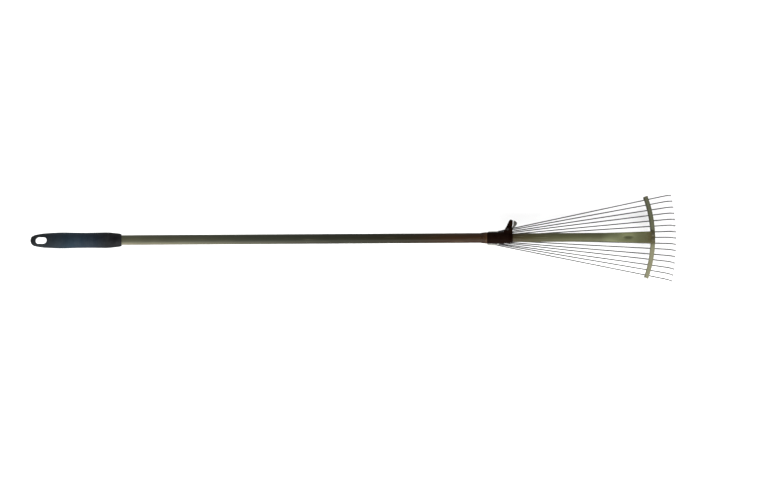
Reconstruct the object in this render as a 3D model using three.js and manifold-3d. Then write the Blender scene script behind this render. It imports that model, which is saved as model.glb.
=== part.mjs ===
// Adjustable leaf rake: a tubular handle whose head slides in and out, and a fan of fifteen wire tines.
// Millimetres. X runs along the handle towards the tips, Y is across the fan, Z is up.
// Lengths along X are laid out from the butt of the grip; the last lines move the origin to the floor.
import * as THREE from "three";
import { mergeVertices } from "three/addons/utils/BufferGeometryUtils.js";
import Module from "manifold-3d";

const wasm = await Module();
wasm.setup();

// ---- Driving dimensions ----

const clearance = 0.3; // gap between pieces that touch, slide or turn on each other

// Grip
const gripLength = 201;
const gripBellyX = 70;
const gripWaistX = 128;
const gripShoulderBack = 34; // from the mouth
const gripBellyWall = 6.5; // thickness of plastic over the tube
const gripWaistWall = 5.6;
const gripShoulderWall = 6.1;
const gripMouthWall = 2;
const gripButtFlatness = 0.26; // share of its height that the butt loses
const hangHoleLength = 25;
const hangHoleWidth = 15;
const hangHoleX = 24;
const hangHoleToBore = 16.5;

// Handle tube and the collar on its end
const handleTubeLength = 978;
const handleTubeWall = 0.7;
const tubeSlideGap = 0.5; // all round, head tube to handle tube
const collarLength = 56;
const collarWall = 1.7; // over the handle tube
const collarNoseTaper = 1;
const collarNoseLength = 20;
const collarWindowWall = 1.6; // bush to the brake shoe's window
const ferruleLength = 13;
const ferruleLip = 0.5;
const bushLength = 10.5;
const collarScrewRadius = 1.5;
const collarScrewHeadRadius = 2.9;
const collarScrewX = 9; // from the collar's grip end

// Head tube, which slides in the handle
const headTubeRadius = 9.8;
const headTubeWall = 0.8;
const headTubeReach = 314; // collar to the end of the flattened tube, with the head drawn right out
const headTubeInside = 160; // length of head tube still inside at that setting
const plugLength = 22;
const flatThickness = 3.4;
const flatWidth = 26.4;
const pressLength = 40; // round tube to full flat
const flareLength = 110; // stretch over which the tube widens
const headTravel = 150;

// Guide bar
const barWidth = 10;
const barLip = 3.2; // flange left under the lower slots
const barWall = 1.4;
const barRadius = 261;
const barSeatDepth = 0.4;
const barSeatMargin = 1.5; // beside the flat end
const barEndMargin = 2.3;
const barSetback = 4.5; // end of the flattened tube to the middle of the bar
const barRivetRadius = 2.2;
const barRivetSpacing = 11.5;

// Tines
const tineCount = 15;
const wireRadius = 1.2;
const wireSides = 8;
const barPitch = 12.31; // between tines where they cross the bar
const rootPitch = 1.78; // between tines at the nearer row of root pins
const layerDrop = 5; // the odd tines lie this far under the even ones
const rootBendRadius = 1.8;
const tineOverhang = 52; // bar to tips, measured along the middle tine
const hookRadius = 14;
const hookAngle = 68 * (Math.PI / 180);
const hookDepth = 28; // lower layer down to the ends of the hooks
const slotClearance = 0.4;

// Tine carrier
const plateThickness = 1.5;
const plateMargin = 1.6; // beside the outermost pin holes
const plateFrontMargin = 5.5;
const plateCorner = 5;
const rootRowX = 10; // nearer row of root pins, from the collar's grip end
const rootRowStep = 10; // to the further row
const plateGap = 0.6; // between a tine and the plate beside it
const footStandOff = 0.7; // foot below the round of the collar
const footWidth = 20;
const footRoof = 0.6; // left over the rivets, under the tube's bore
const carrierRivetX = 4;
const carrierRivetSpacing = 9;
const carrierRivetRadius = 1.6;
const carrierSpacerRadius = 2.8;

// Cam lever
const leverInset = 11; // pivot, from the collar's head end
const leverOpenAngle = 65 * (Math.PI / 180);
const leverSwing = 112 * (Math.PI / 180);
const leverWidth = 16;
const leverNeckWidth = 9.8;
const leverLength = 22.8;
const leverInner = 4.9; // pivot line to the side that faces the collar when shut
const leverOuter = 7.4; // pivot line to the back, at the lever's thick end
const leverTipOuter = 3.2; // the same at its tip
const leverThickUntil = 9.2;
const leverPlateThickness = 3;
const leverPlateBulge = 13.8;
const leverPinRadius = 1.5;
const leverPinHead = 1.1;
const earWall = 4.2; // round the pin
const earThickness = 3;
const earGripReach = 8.2; // ears' foot, from the pivot towards the grip
const earHeadReach = 10.6; // the same towards the tines
const leverWideFrom = 9.2; // from the pivot, past the ears at every angle
const camRadius = 4;
const camLift = 0.4; // growth of the cam's radius for each radian of swing
const shoeLength = 12;
const shoeWidth = 9;
const shoeLiftOff = 0.95; // shoe to head tube with the lever open

// ---- Places that follow from them ----

const gripBoreEnd = hangHoleX + hangHoleLength / 2 + hangHoleToBore;
const handleTubeRadius = headTubeRadius + tubeSlideGap + handleTubeWall;
const handleBoreRadius = handleTubeRadius + clearance; // of the pieces that sit on the handle tube
const handleTubeStart = gripBoreEnd + clearance;
const handleTubeEnd = handleTubeStart + handleTubeLength;
const leverX = collarLength - leverInset;
const windowHalf = shoeLength / 2 + clearance;
const bushStart = leverX - windowHalf - collarWindowWall - clearance - bushLength;
const collarOverlap = bushStart - clearance; // length of handle tube held inside the collar
const collarStart = handleTubeEnd - collarOverlap;
const collarEnd = collarStart + collarLength;
const collarRadius = handleBoreRadius + collarWall;
const collarNoseRadius = collarRadius - collarNoseTaper;
const headTubeStart = collarEnd - headTubeInside;
const headTubeEnd = collarEnd + headTubeReach;
const flatTop = flatThickness - headTubeRadius;
const barSeat = -headTubeRadius - clearance; // sunk middle of the bar's web, where the flat end lies
const barTop = barSeat + barSeatDepth;
const barX = headTubeEnd - barSetback;
const footDepth = collarRadius + footStandOff;
const upperPlateTop = -footDepth - clearance;
const upperLayerDepth = plateThickness - upperPlateTop + plateGap + wireRadius;
const lowerLayerDepth = upperLayerDepth + layerDrop;
const lowerPlateTop = -lowerLayerDepth - wireRadius - plateGap;
const barBottom = -lowerLayerDepth - wireRadius - slotClearance - barLip;
const plateLength = rootRowX + rootRowStep + wireRadius + clearance + plateFrontMargin;
const nearRowX = collarStart + rootRowX;
const apexBack = ((barX - nearRowX) * rootPitch) / (barPitch - rootPitch);
const apexX = nearRowX - apexBack;
const slopeStep = rootPitch / apexBack;
const tipRadius = barX - apexX + tineOverhang;
const leverPivotX = collarStart + leverX;
const leverPivotY = collarRadius + leverInner + clearance; // the shut lever lies clear of the collar
const earRadius = leverPinRadius + earWall;
const rivetTop = -handleBoreRadius - footRoof - clearance;
const pinHoleRadius = wireRadius + clearance;

// ---- Solids ----

function toSolid(geometry) {
  const bare = new THREE.BufferGeometry();
  const open = geometry.index ? geometry.toNonIndexed() : geometry;
  bare.setAttribute("position", open.getAttribute("position"));
  const merged = mergeVertices(bare, 1e-4);
  return new wasm.Manifold(
    new wasm.Mesh({
      numProp: 3,
      vertProperties: new Float32Array(merged.getAttribute("position").array),
      triVerts: new Uint32Array(merged.index.array),
    }),
  );
}

function toGeometry(solid) {
  const mesh = solid.getMesh();
  const geometry = new THREE.BufferGeometry();
  geometry.setAttribute("position", new THREE.BufferAttribute(mesh.vertProperties, 3));
  geometry.setIndex(new THREE.BufferAttribute(mesh.triVerts, 1));
  const flat = geometry.toNonIndexed();
  flat.computeVertexNormals();
  return flat;
}

function join(...geometries) {
  return toGeometry(geometries.map(toSolid).reduce((a, b) => a.add(b)));
}

function cut(geometry, ...tools) {
  return toGeometry(tools.map(toSolid).reduce((a, b) => a.subtract(b), toSolid(geometry)));
}

function common(a, b) {
  return toGeometry(toSolid(a).intersect(toSolid(b)));
}

function block(x0, x1, y0, y1, z0, z1) {
  const geometry = new THREE.BoxGeometry(x1 - x0, y1 - y0, z1 - z0);
  return geometry.translate((x0 + x1) / 2, (y0 + y1) / 2, (z0 + z1) / 2);
}

// Turned solid about the X axis from [x, radius] pairs that start and end on the axis or close on themselves.
function turnedX(profile, sides) {
  const points = profile.map(([x, radius]) => new THREE.Vector2(radius, x));
  return new THREE.LatheGeometry(points, sides).rotateZ(-Math.PI / 2);
}

// The same about a vertical axis, from [z, radius] pairs.
function turnedZ(profile, sides) {
  const points = profile.map(([z, radius]) => new THREE.Vector2(radius, z));
  return new THREE.LatheGeometry(points, sides).rotateX(Math.PI / 2);
}

function rodX(radius, x0, x1, sides = 28) {
  return turnedX([[x0, 0], [x0, radius], [x1, radius], [x1, 0]], sides);
}

function rodZ(radius, x, y, z0, z1, sides = 16) {
  return turnedZ([[z0, 0], [z0, radius], [z1, radius], [z1, 0]], sides).translate(x, y, 0);
}

function prism(shape, z0, z1, curveSegments = 6) {
  const options = { depth: z1 - z0, bevelEnabled: false, curveSegments };
  return new THREE.ExtrudeGeometry(shape, options).translate(0, 0, z0);
}

// ---- Handle ----

function grip() {
  const belly = handleBoreRadius + gripBellyWall;
  const waist = handleBoreRadius + gripWaistWall;
  const shoulder = handleBoreRadius + gripShoulderWall;
  const mouth = handleBoreRadius + gripMouthWall;
  const outline = new THREE.SplineCurve(
    [
      [3, belly - 9.2],
      [9, belly - 5.7],
      [20, belly - 3.2],
      [36, belly - 1.5],
      [gripBellyX, belly],
      [(gripBellyX + gripWaistX) / 2, waist + 0.2],
      [gripWaistX, waist],
      [gripLength - gripShoulderBack, shoulder],
      [gripLength - gripShoulderBack / 2, shoulder - 1.2],
      [gripLength - 4, mouth + 1.4],
    ].map(([x, radius]) => new THREE.Vector2(x, radius)),
  );
  const skin = outline.getPoints(20).map((p) => [p.x, p.y]);
  const profile = [[0, 0], [0, belly - 13.8], ...skin, [gripLength, mouth], [gripLength, 0]];
  const body = turnedX(profile, 24);
  const place = body.getAttribute("position");
  for (let i = 0; i < place.count; i++) {
    const near = 1 - THREE.MathUtils.smoothstep(place.getX(i), hangHoleX, gripBellyX - 8);
    place.setZ(i, place.getZ(i) * (1 - gripButtFlatness * near));
  }
  const end = (hangHoleLength - hangHoleWidth) / 2;
  const hole = new THREE.Shape();
  hole.absarc(hangHoleX + end, 0, hangHoleWidth / 2, -Math.PI / 2, Math.PI / 2);
  hole.absarc(hangHoleX - end, 0, hangHoleWidth / 2, Math.PI / 2, Math.PI * 1.5);
  const bore = rodX(handleBoreRadius, gripBoreEnd, gripLength + 1);
  return cut(body, prism(hole, -2 * belly, 2 * belly), bore);
}

function hollowTube(x0, x1, outer, wall, sides = 28) {
  const inner = outer - wall;
  return turnedX([[x0, outer], [x1, outer], [x1, inner], [x0, inner], [x0, outer]], sides);
}

function collarFerrule() {
  const x1 = collarStart - clearance;
  const x0 = x1 - ferruleLength;
  const bore = handleBoreRadius;
  const thin = bore + ferruleLip;
  const thick = collarRadius - 0.2;
  return turnedX([[x0, bore], [x0, thin], [x1 - 3, thick], [x1, thick], [x1, bore], [x0, bore]], 28);
}

// An ear stands on a wide foot, with one flank in line with the open lever.
function earShape() {
  const shape = new THREE.Shape();
  const low = headTubeRadius - 2;
  shape.moveTo(leverPivotX - earGripReach, low);
  shape.lineTo(leverPivotX + earHeadReach, low);
  shape.lineTo(leverPivotX + earHeadReach, leverPivotY + 1.3);
  shape.absarc(leverPivotX, leverPivotY, earRadius, leverOpenAngle, Math.PI * 0.88);
  shape.lineTo(leverPivotX - earGripReach, collarRadius - 0.2);
  return shape;
}

function clampCollar() {
  const bushEnd = collarStart + bushStart + bushLength + clearance;
  const body = turnedX(
    [
      [collarStart, 0],
      [collarStart, collarRadius - 0.8],
      [collarStart + 1, collarRadius],
      [collarEnd - collarNoseLength, collarRadius],
      [collarEnd - 1, collarNoseRadius],
      [collarEnd, collarNoseRadius - 1],
      [collarEnd, 0],
    ],
    28,
  );
  const earIn = leverNeckWidth / 2 + clearance;
  const footTop = -handleTubeRadius / 2;
  const foot = block(collarStart, collarStart + plateLength, -footWidth / 2, footWidth / 2, -footDepth, footTop);
  const earLeft = prism(earShape(), earIn, earIn + earThickness);
  const earRight = prism(earShape(), -earIn - earThickness, -earIn);
  const whole = join(body, foot, earLeft, earRight);
  const window = block(
    leverPivotX - windowHalf,
    leverPivotX + windowHalf,
    headTubeRadius - 3,
    collarRadius + 1,
    -shoeWidth / 2 - clearance,
    shoeWidth / 2 + clearance,
  );
  const rivetHoles = carrierRivetPlaces().map(([x, y]) =>
    rodZ(carrierRivetRadius + clearance, x, y, -footDepth - 1, rivetTop + clearance),
  );
  return cut(
    whole,
    rodX(handleBoreRadius, collarStart - 1, bushEnd),
    rodX(headTubeRadius + clearance, bushEnd - 1, collarEnd + 1),
    window,
    rodZ(leverPinRadius + clearance, leverPivotX, leverPivotY, -20, 20),
    ...rivetHoles,
    ...[1, -1].map((side) => screwShape(side, clearance)),
  );
}

// A countersunk screw through the collar into the handle tube, on the +Y or the -Y side.
function screwShape(side, extra = 0) {
  const head = collarScrewHeadRadius + extra;
  const shank = collarScrewRadius + extra;
  const tip = handleTubeRadius - handleTubeWall - 0.1 - extra;
  const top = collarRadius - 0.25 + (extra ? 1 : 0);
  const seat = collarRadius - 1 - extra;
  const screw = turnedZ([[tip, 0], [tip, shank], [seat, shank], [seat, head], [top, head], [top, 0]], 14);
  return screw.rotateX(-side * (Math.PI / 2)).translate(collarStart + collarScrewX, 0, 0);
}

function handleTube() {
  const tube = hollowTube(handleTubeStart, handleTubeEnd, handleTubeRadius, handleTubeWall);
  return cut(tube, ...[1, -1].map((side) => screwShape(side, clearance)));
}

function tubeBush() {
  const x0 = collarStart + bushStart;
  return hollowTube(x0, x0 + bushLength, handleTubeRadius, handleTubeRadius - headTubeRadius - clearance);
}

// ---- Cam lever ----

// Side view of the lever about its pivot: x' runs to the tip, +y' is the side that faces the collar when shut.
function leverShape() {
  const shape = new THREE.Shape();
  const camStart = Math.PI * 1.5 - leverOpenAngle - leverSwing;
  const steps = 10;
  shape.moveTo(earRadius + 1, leverInner);
  for (let i = 0; i <= steps; i++) {
    const angle = camStart + (leverSwing * i) / steps;
    const radius = camRadius + camLift * leverSwing * (1 - i / steps);
    shape.lineTo(radius * Math.cos(angle), radius * Math.sin(angle));
  }
  const camEnd = camStart + leverSwing;
  shape.absarc(0, 0, camRadius, camEnd, Math.PI * 1.7);
  shape.lineTo(4.4, -leverOuter);
  shape.lineTo(leverThickUntil, -leverOuter);
  shape.lineTo(leverLength - 2, -leverTipOuter);
  shape.lineTo(leverLength, -leverTipOuter + 1.8);
  shape.absarc(leverLength - 4, leverInner - 4, 4, 0, Math.PI / 2);
  return shape;
}

// The plate on the lever's back: a strap that ends in a thumb tab, bowed away from the lever.
function leverPlateShape() {
  const inner = -leverOuter - clearance;
  const slitStart = leverThickUntil + 3.2;
  const shape = new THREE.Shape();
  shape.moveTo(1.2, inner - 1.2);
  shape.lineTo(3.4, inner);
  shape.lineTo(slitStart, inner);
  shape.lineTo(leverLength + 0.4, -leverTipOuter - 1.8);
  shape.quadraticCurveTo(leverLength + 1.4, -leverPlateBulge + 1.5, leverLength - 3.4, -leverPlateBulge);
  shape.quadraticCurveTo(slitStart, -leverPlateBulge + 0.6, slitStart - 3.4, inner - leverPlateThickness);
  shape.lineTo(2, inner - leverPlateThickness);
  return shape;
}

// Full width past the ears, and narrow enough to pass between them nearer the pivot.
function leverSolid(shape) {
  const neck = prism(shape, -leverNeckWidth / 2, leverNeckWidth / 2, 8);
  const wide = prism(shape, -leverWidth / 2, leverWidth / 2, 8);
  const past = block(leverWideFrom, 60, -40, 40, -20, 20);
  return join(neck, common(wide, past));
}

function camLever() {
  return cut(leverSolid(leverShape()), rodZ(leverPinRadius + clearance, 0, 0, -20, 20));
}

function leverPlate() {
  return leverSolid(leverPlateShape());
}

function leverPin() {
  const reach = leverNeckWidth / 2 + clearance + earThickness + clearance;
  const head = leverPinRadius + leverPinHead;
  const pin = [
    [-reach - 1, 0],
    [-reach - 1, head],
    [-reach, head],
    [-reach, leverPinRadius],
    [reach, leverPinRadius],
    [reach, head],
    [reach + 1, head],
    [reach + 1, 0],
  ];
  return turnedZ(pin, 16).translate(leverPivotX, leverPivotY, 0);
}

function brakeShoe() {
  const top = leverPivotY - camRadius - clearance;
  const shoe = block(
    leverPivotX - shoeLength / 2,
    leverPivotX + shoeLength / 2,
    headTubeRadius - 2,
    top,
    -shoeWidth / 2,
    shoeWidth / 2,
  );
  return cut(shoe, rodX(headTubeRadius + shoeLiftOff, collarStart, collarEnd, 48));
}

// ---- Head tube and guide bar ----

// A tube whose end is pressed flat against its lower side while it widens.
function headTube() {
  const inner = headTubeRadius - headTubeWall;
  const flareStart = headTubeEnd - flareLength;
  const stations = [headTubeStart, flareStart - 1];
  const steps = 11;
  for (let i = 0; i <= steps; i++) stations.push(flareStart + (flareLength * i) / steps);
  const profile = [
    ...stations.map((x) => [x, headTubeRadius]),
    ...stations.reverse().map((x) => [x, inner]),
    [headTubeStart, headTubeRadius],
  ];
  const tube = turnedX(profile, 28);
  const place = tube.getAttribute("position");
  for (let i = 0; i < place.count; i++) {
    const x = place.getX(i);
    const y = place.getY(i);
    const z = place.getZ(i);
    const radius = Math.hypot(y, z);
    const outside = radius > headTubeRadius - headTubeWall / 2;
    const halfFlat = flatThickness / 2 - (outside ? 0 : headTubeWall);
    const halfWidth = flatWidth / 2 - (outside ? 0 : headTubeWall);
    const press = THREE.MathUtils.smoothstep(x, flareStart, flareStart + pressLength);
    const flare = THREE.MathUtils.clamp((x - flareStart) / flareLength, 0, 1);
    const squareZ = Math.sign(z) * Math.pow(Math.abs(z) / radius, 0.5);
    const flatZ = flatThickness / 2 - headTubeRadius + halfFlat * squareZ;
    place.setZ(i, THREE.MathUtils.lerp(z, flatZ, press));
    place.setY(i, THREE.MathUtils.lerp(y, (y / radius) * halfWidth, flare));
  }
  const holes = barRivetPlaces().map(([x, y]) =>
    rodZ(barRivetRadius + clearance, x, y, -headTubeRadius - 1, headTubeRadius),
  );
  return cut(tube, ...holes);
}

function headTubePlug() {
  const bore = handleTubeRadius - handleTubeWall - clearance;
  const stem = headTubeRadius - headTubeWall - clearance;
  const face = headTubeStart - clearance;
  const flange = face - plugLength / 2;
  return turnedX(
    [[flange, 0], [flange, bore - 0.8], [flange + 1, bore], [face, bore], [face, stem],
      [face + plugLength / 2, stem], [face + plugLength / 2, 0]],
    28,
  );
}

function barRivetPlaces() {
  return [-1, 1].map((side) => [barX, (side * barRivetSpacing) / 2]);
}

function barRivet([x, y]) {
  const top = flatTop + clearance;
  const bottom = barTop - barWall - clearance;
  const rivet = [
    [bottom - 1.3, 0],
    [bottom - 1.3, barRivetRadius + 0.6],
    [bottom, barRivetRadius + 1],
    [bottom, barRivetRadius],
    [top, barRivetRadius],
    [top, barRivetRadius + 1.9],
    [top + 1, barRivetRadius + 1.5],
    [top + 1.8, barRivetRadius - 0.4],
    [top + 1.8, 0],
  ];
  return turnedZ(rivet, 16).translate(x, y, 0);
}

// A flat arc-shaped band of the bar's curve between two offsets from its middle line.
function arcBand(back, front, halfAngle, z0, z1) {
  const shape = new THREE.Shape();
  const centre = barX - barRadius;
  shape.absarc(centre, 0, barRadius + front, -halfAngle, halfAngle, false);
  shape.absarc(centre, 0, barRadius + back, halfAngle, -halfAngle, true);
  return prism(shape, z0, z1, 16);
}

// A tine's root pin, its slope at rest, and how far it turns for each millimetre that the head comes in.
function tineLayout(index) {
  const order = index - (tineCount - 1) / 2;
  const step = Math.floor(Math.abs(order) / 2);
  const upper = order % 2 === 0;
  const further = upper ? step % 2 === 1 : step % 2 === 0;
  const slope = order * slopeStep;
  const rootX = nearRowX + (further ? rootRowStep : 0);
  const root = new THREE.Vector2(rootX, (rootX - apexX) * slope);
  const angle = Math.atan(slope);
  const turn = order === 0 ? 0 : fairTurn(root, angle);
  return { order, upper, slope, root, angle, turn };
}

// Where a tine at this angle crosses a curve of the bar that has come in by travel.
function crossing(root, angle, radius, travel) {
  const centreX = barX - barRadius - travel;
  const dx = root.x - centreX;
  const along = dx * Math.cos(angle) + root.y * Math.sin(angle);
  const reach = -along + Math.sqrt(along * along - dx * dx - root.y * root.y + radius * radius);
  return root.y + reach * Math.sin(angle);
}

function drift(root, angle, turn, radius) {
  const steps = 40;
  const places = [];
  for (let i = 0; i <= steps; i++) {
    const travel = (headTravel * i) / steps;
    places.push(crossing(root, angle + turn * travel, radius, travel));
  }
  return places;
}

// The steady turn for which a tine strays as far out of its place in the bar as it does inwards.
function fairTurn(root, angle) {
  const side = Math.sign(angle);
  let low = 0;
  let high = 0.004;
  for (let i = 0; i < 50; i++) {
    const turn = (low + high) / 2;
    const places = drift(root, angle, side * turn, barRadius).map((y) => y * side);
    const outwards = Math.max(...places) - places[0];
    const inwards = places[0] - Math.min(...places);
    if (outwards > inwards) high = turn;
    else low = turn;
  }
  return (side * (low + high)) / 2;
}

// The stretch of one flange that a tine needs over the whole travel.
function slotRange(tine, offset) {
  const faces = [offset - barWall / 2, offset + barWall / 2];
  const places = faces.flatMap((face) => drift(tine.root, tine.angle, tine.turn, barRadius + face));
  const widest = Math.abs(tine.angle) + Math.abs(tine.turn) * headTravel;
  const half = wireRadius / Math.cos(widest) + slotClearance;
  return [Math.min(...places) - half, Math.max(...places) + half];
}

function barHalfAngle(tines) {
  const outermost = slotRange(tines[tines.length - 1], barWidth / 2 - barWall / 2)[1];
  return Math.asin((outermost + barEndMargin) / (barRadius + barWidth / 2));
}

function guideBar(tines) {
  const half = barHalfAngle(tines);
  const band = arcBand(-barWidth / 2, barWidth / 2, half, barBottom, barTop);
  const edge = barWidth / 2 - barWall;
  const hollow = arcBand(-edge, edge, half * 1.2, barBottom - 1, barTop - barWall);
  const slots = [];
  for (const flange of [-1, 1]) {
    const offset = (flange * (barWidth - barWall)) / 2;
    for (const tine of tines) {
      const [y0, y1] = slotRange(tine, offset);
      const middle = (y0 + y1) / 2;
      const x = barX - barRadius + Math.sqrt((barRadius + offset) ** 2 - middle ** 2);
      const z = -(tine.upper ? upperLayerDepth : lowerLayerDepth);
      const tall = wireRadius + slotClearance;
      slots.push(block(x - 3.2, x + 3.2, y0, y1, z - tall, z + tall));
    }
  }
  const holes = barRivetPlaces().map(([x, y]) =>
    rodZ(barRivetRadius + clearance, x, y, barTop - 3, barTop + 1),
  );
  const seatHalf = flatWidth / 2 + barSeatMargin;
  const seat = block(barX - barWidth, barX + barWidth, -seatHalf, seatHalf, barSeat, barTop + 1);
  return cut(band, hollow, seat, ...slots, ...holes);
}

// ---- Tine carrier under the collar ----

function carrierRivetPlaces() {
  return [-1, 0, 1].map((side) => [collarStart + carrierRivetX, side * carrierRivetSpacing]);
}

function carrierPlate(top, tines, upper) {
  const outermost = Math.max(...tines.map((tine) => Math.abs(tine.root.y)));
  const half = outermost + pinHoleRadius + plateMargin;
  const front = collarStart + plateLength;
  const corner = plateCorner;
  const shape = new THREE.Shape();
  shape.moveTo(collarStart, corner - half);
  shape.lineTo(collarStart + corner, -half);
  shape.lineTo(front - corner, -half);
  shape.lineTo(front, corner - half);
  shape.lineTo(front, half - corner);
  shape.lineTo(front - corner, half);
  shape.lineTo(collarStart + corner, half);
  shape.lineTo(collarStart, half - corner);
  const z = top - plateThickness;
  const pins = tines.filter((tine) => tine.upper === upper);
  return cut(
    prism(shape, z, top),
    ...pins.map((tine) => rodZ(pinHoleRadius, tine.root.x, tine.root.y, z - 1, top + 1, 12)),
    ...carrierRivetPlaces().map(([x, y]) =>
      rodZ(carrierRivetRadius + clearance, x, y, z - 1, top + 1, 14)),
  );
}

// A shouldered rivet: its head holds the lower plate, its shoulder keeps the plates apart.
function carrierRivet([x, y]) {
  const shoulderTop = upperPlateTop - plateThickness - clearance;
  const shoulderBottom = lowerPlateTop + clearance;
  const headTop = lowerPlateTop - plateThickness - clearance;
  const rivet = [
    [headTop - 1.4, 0],
    [headTop - 1.4, carrierSpacerRadius - 0.8],
    [headTop, carrierSpacerRadius],
    [headTop, carrierRivetRadius],
    [shoulderBottom, carrierRivetRadius],
    [shoulderBottom, carrierSpacerRadius],
    [shoulderTop, carrierSpacerRadius],
    [shoulderTop, carrierRivetRadius],
    [rivetTop, carrierRivetRadius],
    [rivetTop, 0],
  ];
  return turnedZ(rivet, 14).translate(x, y, 0);
}

// ---- Tines ----

// A path that stops at each of its points in turn, however far apart they are.
class PointPath extends THREE.Curve {
  constructor(points) {
    super();
    this.points = points;
  }

  getPointAt(u, target = new THREE.Vector3()) {
    return target.copy(this.points[Math.round(u * (this.points.length - 1))]);
  }

  getTangentAt(u, target = new THREE.Vector3()) {
    const last = this.points.length - 1;
    const here = Math.round(u * last);
    const before = this.points[Math.max(here - 1, 0)];
    const after = this.points[Math.min(here + 1, last)];
    const point = this.points[here];
    const arrive = here > 0 ? point.clone().sub(before).normalize() : new THREE.Vector3();
    const leave = here < last ? after.clone().sub(point).normalize() : new THREE.Vector3();
    return target.copy(arrive.add(leave).normalize());
  }
}

function bend(points, centreX, centreZ, radius, from, to, steps) {
  for (let i = 0; i <= steps; i++) {
    const angle = from + ((to - from) * i) / steps;
    points.push(new THREE.Vector3(centreX + radius * Math.cos(angle), 0, centreZ + radius * Math.sin(angle)));
  }
}

// A tine about its root pin: the pin stands up or down, the wire runs along +X and ends in a hook.
function tineGeometry(tine) {
  const pinWay = tine.upper ? 1 : -1;
  const depth = tine.upper ? upperLayerDepth : lowerLayerDepth;
  const pinEnd = tine.upper ? upperPlateTop + depth : lowerPlateTop - plateThickness + depth;
  const reach = tipRadius - (tine.root.x - apexX) / Math.cos(tine.angle);
  const drop = hookDepth + lowerLayerDepth - depth - wireRadius;
  const shank = (drop - hookRadius * (1 - Math.cos(hookAngle))) / Math.sin(hookAngle);
  const hookRun = hookRadius * Math.sin(hookAngle);
  const hookStart = reach - hookRun - shank * Math.cos(hookAngle);
  const points = [new THREE.Vector3(0, 0, pinEnd)];
  bend(points, rootBendRadius, pinWay * rootBendRadius, rootBendRadius, Math.PI, Math.PI + (pinWay * Math.PI) / 2, 3);
  bend(points, hookStart, -hookRadius, hookRadius, Math.PI / 2, Math.PI / 2 - hookAngle, 5);
  const end = points[points.length - 1];
  points.push(new THREE.Vector3(end.x + shank * Math.cos(hookAngle), 0, end.z - shank * Math.sin(hookAngle)));
  const section = new THREE.Shape();
  for (let i = 0; i < wireSides; i++) {
    const angle = (2 * Math.PI * i) / wireSides;
    const x = wireRadius * Math.cos(angle);
    const y = wireRadius * Math.sin(angle);
    if (i === 0) section.moveTo(x, y);
    else section.lineTo(x, y);
  }
  return new THREE.ExtrudeGeometry(section, { steps: points.length - 1, extrudePath: new PointPath(points) });
}

// ---- Assembly ----

const finishes = {
  gripPlastic: { color: 0x2c363f, roughness: 0.6, metalness: 0 },
  handlePaint: { color: 0x4e4e41, roughness: 0.4, metalness: 0.3 },
  headPaint: { color: 0x7b7f68, roughness: 0.45, metalness: 0.3 },
  clampPlastic: { color: 0x120c09, roughness: 0.5, metalness: 0 },
  leverSteel: { color: 0x6b6b68, roughness: 0.4, metalness: 0.6 },
  tineSteel: { color: 0x45454a, roughness: 0.45, metalness: 0.8 },
  plateSteel: { color: 0x55564f, roughness: 0.45, metalness: 0.7 },
  nylon: { color: 0xc9c5b8, roughness: 0.6, metalness: 0 },
};

const rake = new THREE.Group();

function add(name, geometry, finish, parent = rake) {
  const mesh = new THREE.Mesh(geometry, new THREE.MeshStandardMaterial(finishes[finish]));
  mesh.name = name;
  parent.add(mesh);
  return mesh;
}

const tines = Array.from({ length: tineCount }, (_, index) => tineLayout(index));

add("grip", grip(), "gripPlastic");
add("handle_tube", handleTube(), "handlePaint");
add("collar_ferrule", collarFerrule(), "handlePaint");
add("clamp_collar", clampCollar(), "clampPlastic");
add("collar_screw_1", screwShape(1), "plateSteel");
add("collar_screw_2", screwShape(-1), "plateSteel");
add("tube_bush", tubeBush(), "nylon");
add("lever_pin", leverPin(), "plateSteel");
add("brake_shoe", brakeShoe(), "nylon");

const lever = new THREE.Group();
lever.position.set(leverPivotX, leverPivotY, 0);
lever.rotation.z = leverOpenAngle;
rake.add(lever);
add("cam_lever", camLever(), "clampPlastic", lever);
add("lever_plate", leverPlate(), "leverSteel", lever);

add("head_tube", headTube(), "headPaint");
add("head_tube_plug", headTubePlug(), "nylon");
add("guide_bar", guideBar(tines), "headPaint");
barRivetPlaces().forEach((place, i) => add(`bar_rivet_${i + 1}`, barRivet(place), "plateSteel"));

add("carrier_upper_plate", carrierPlate(upperPlateTop, tines, true), "plateSteel");
add("carrier_lower_plate", carrierPlate(lowerPlateTop, tines, false), "plateSteel");
carrierRivetPlaces().forEach((place, i) => add(`carrier_rivet_${i + 1}`, carrierRivet(place), "plateSteel"));

tines.forEach((tine, i) => {
  const mesh = add(`tine_${i + 1}`, tineGeometry(tine), "tineSteel");
  mesh.position.set(tine.root.x, tine.root.y, -(tine.upper ? upperLayerDepth : lowerLayerDepth));
  mesh.rotation.z = tine.angle;
  mesh.userData.turnPerMetre = tine.turn * 1000;
});

// The rake lies on the floor: origin under the middle of its box.
rake.updateMatrixWorld(true);
const bounds = new THREE.Box3().setFromObject(rake, true);
const middle = bounds.getCenter(new THREE.Vector3());
rake.position.set(-middle.x, -middle.y, -bounds.min.z);

const standing = new THREE.Group();
standing.add(rake);

export default standing;
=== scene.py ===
"""Leaf rake: the finished pieces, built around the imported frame.

Metres. X runs along the handle from the grip to the tips, Y is across the fan, Z is up.
"""

import math

import bmesh
import bpy
from mathutils import Matrix, Vector


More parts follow.
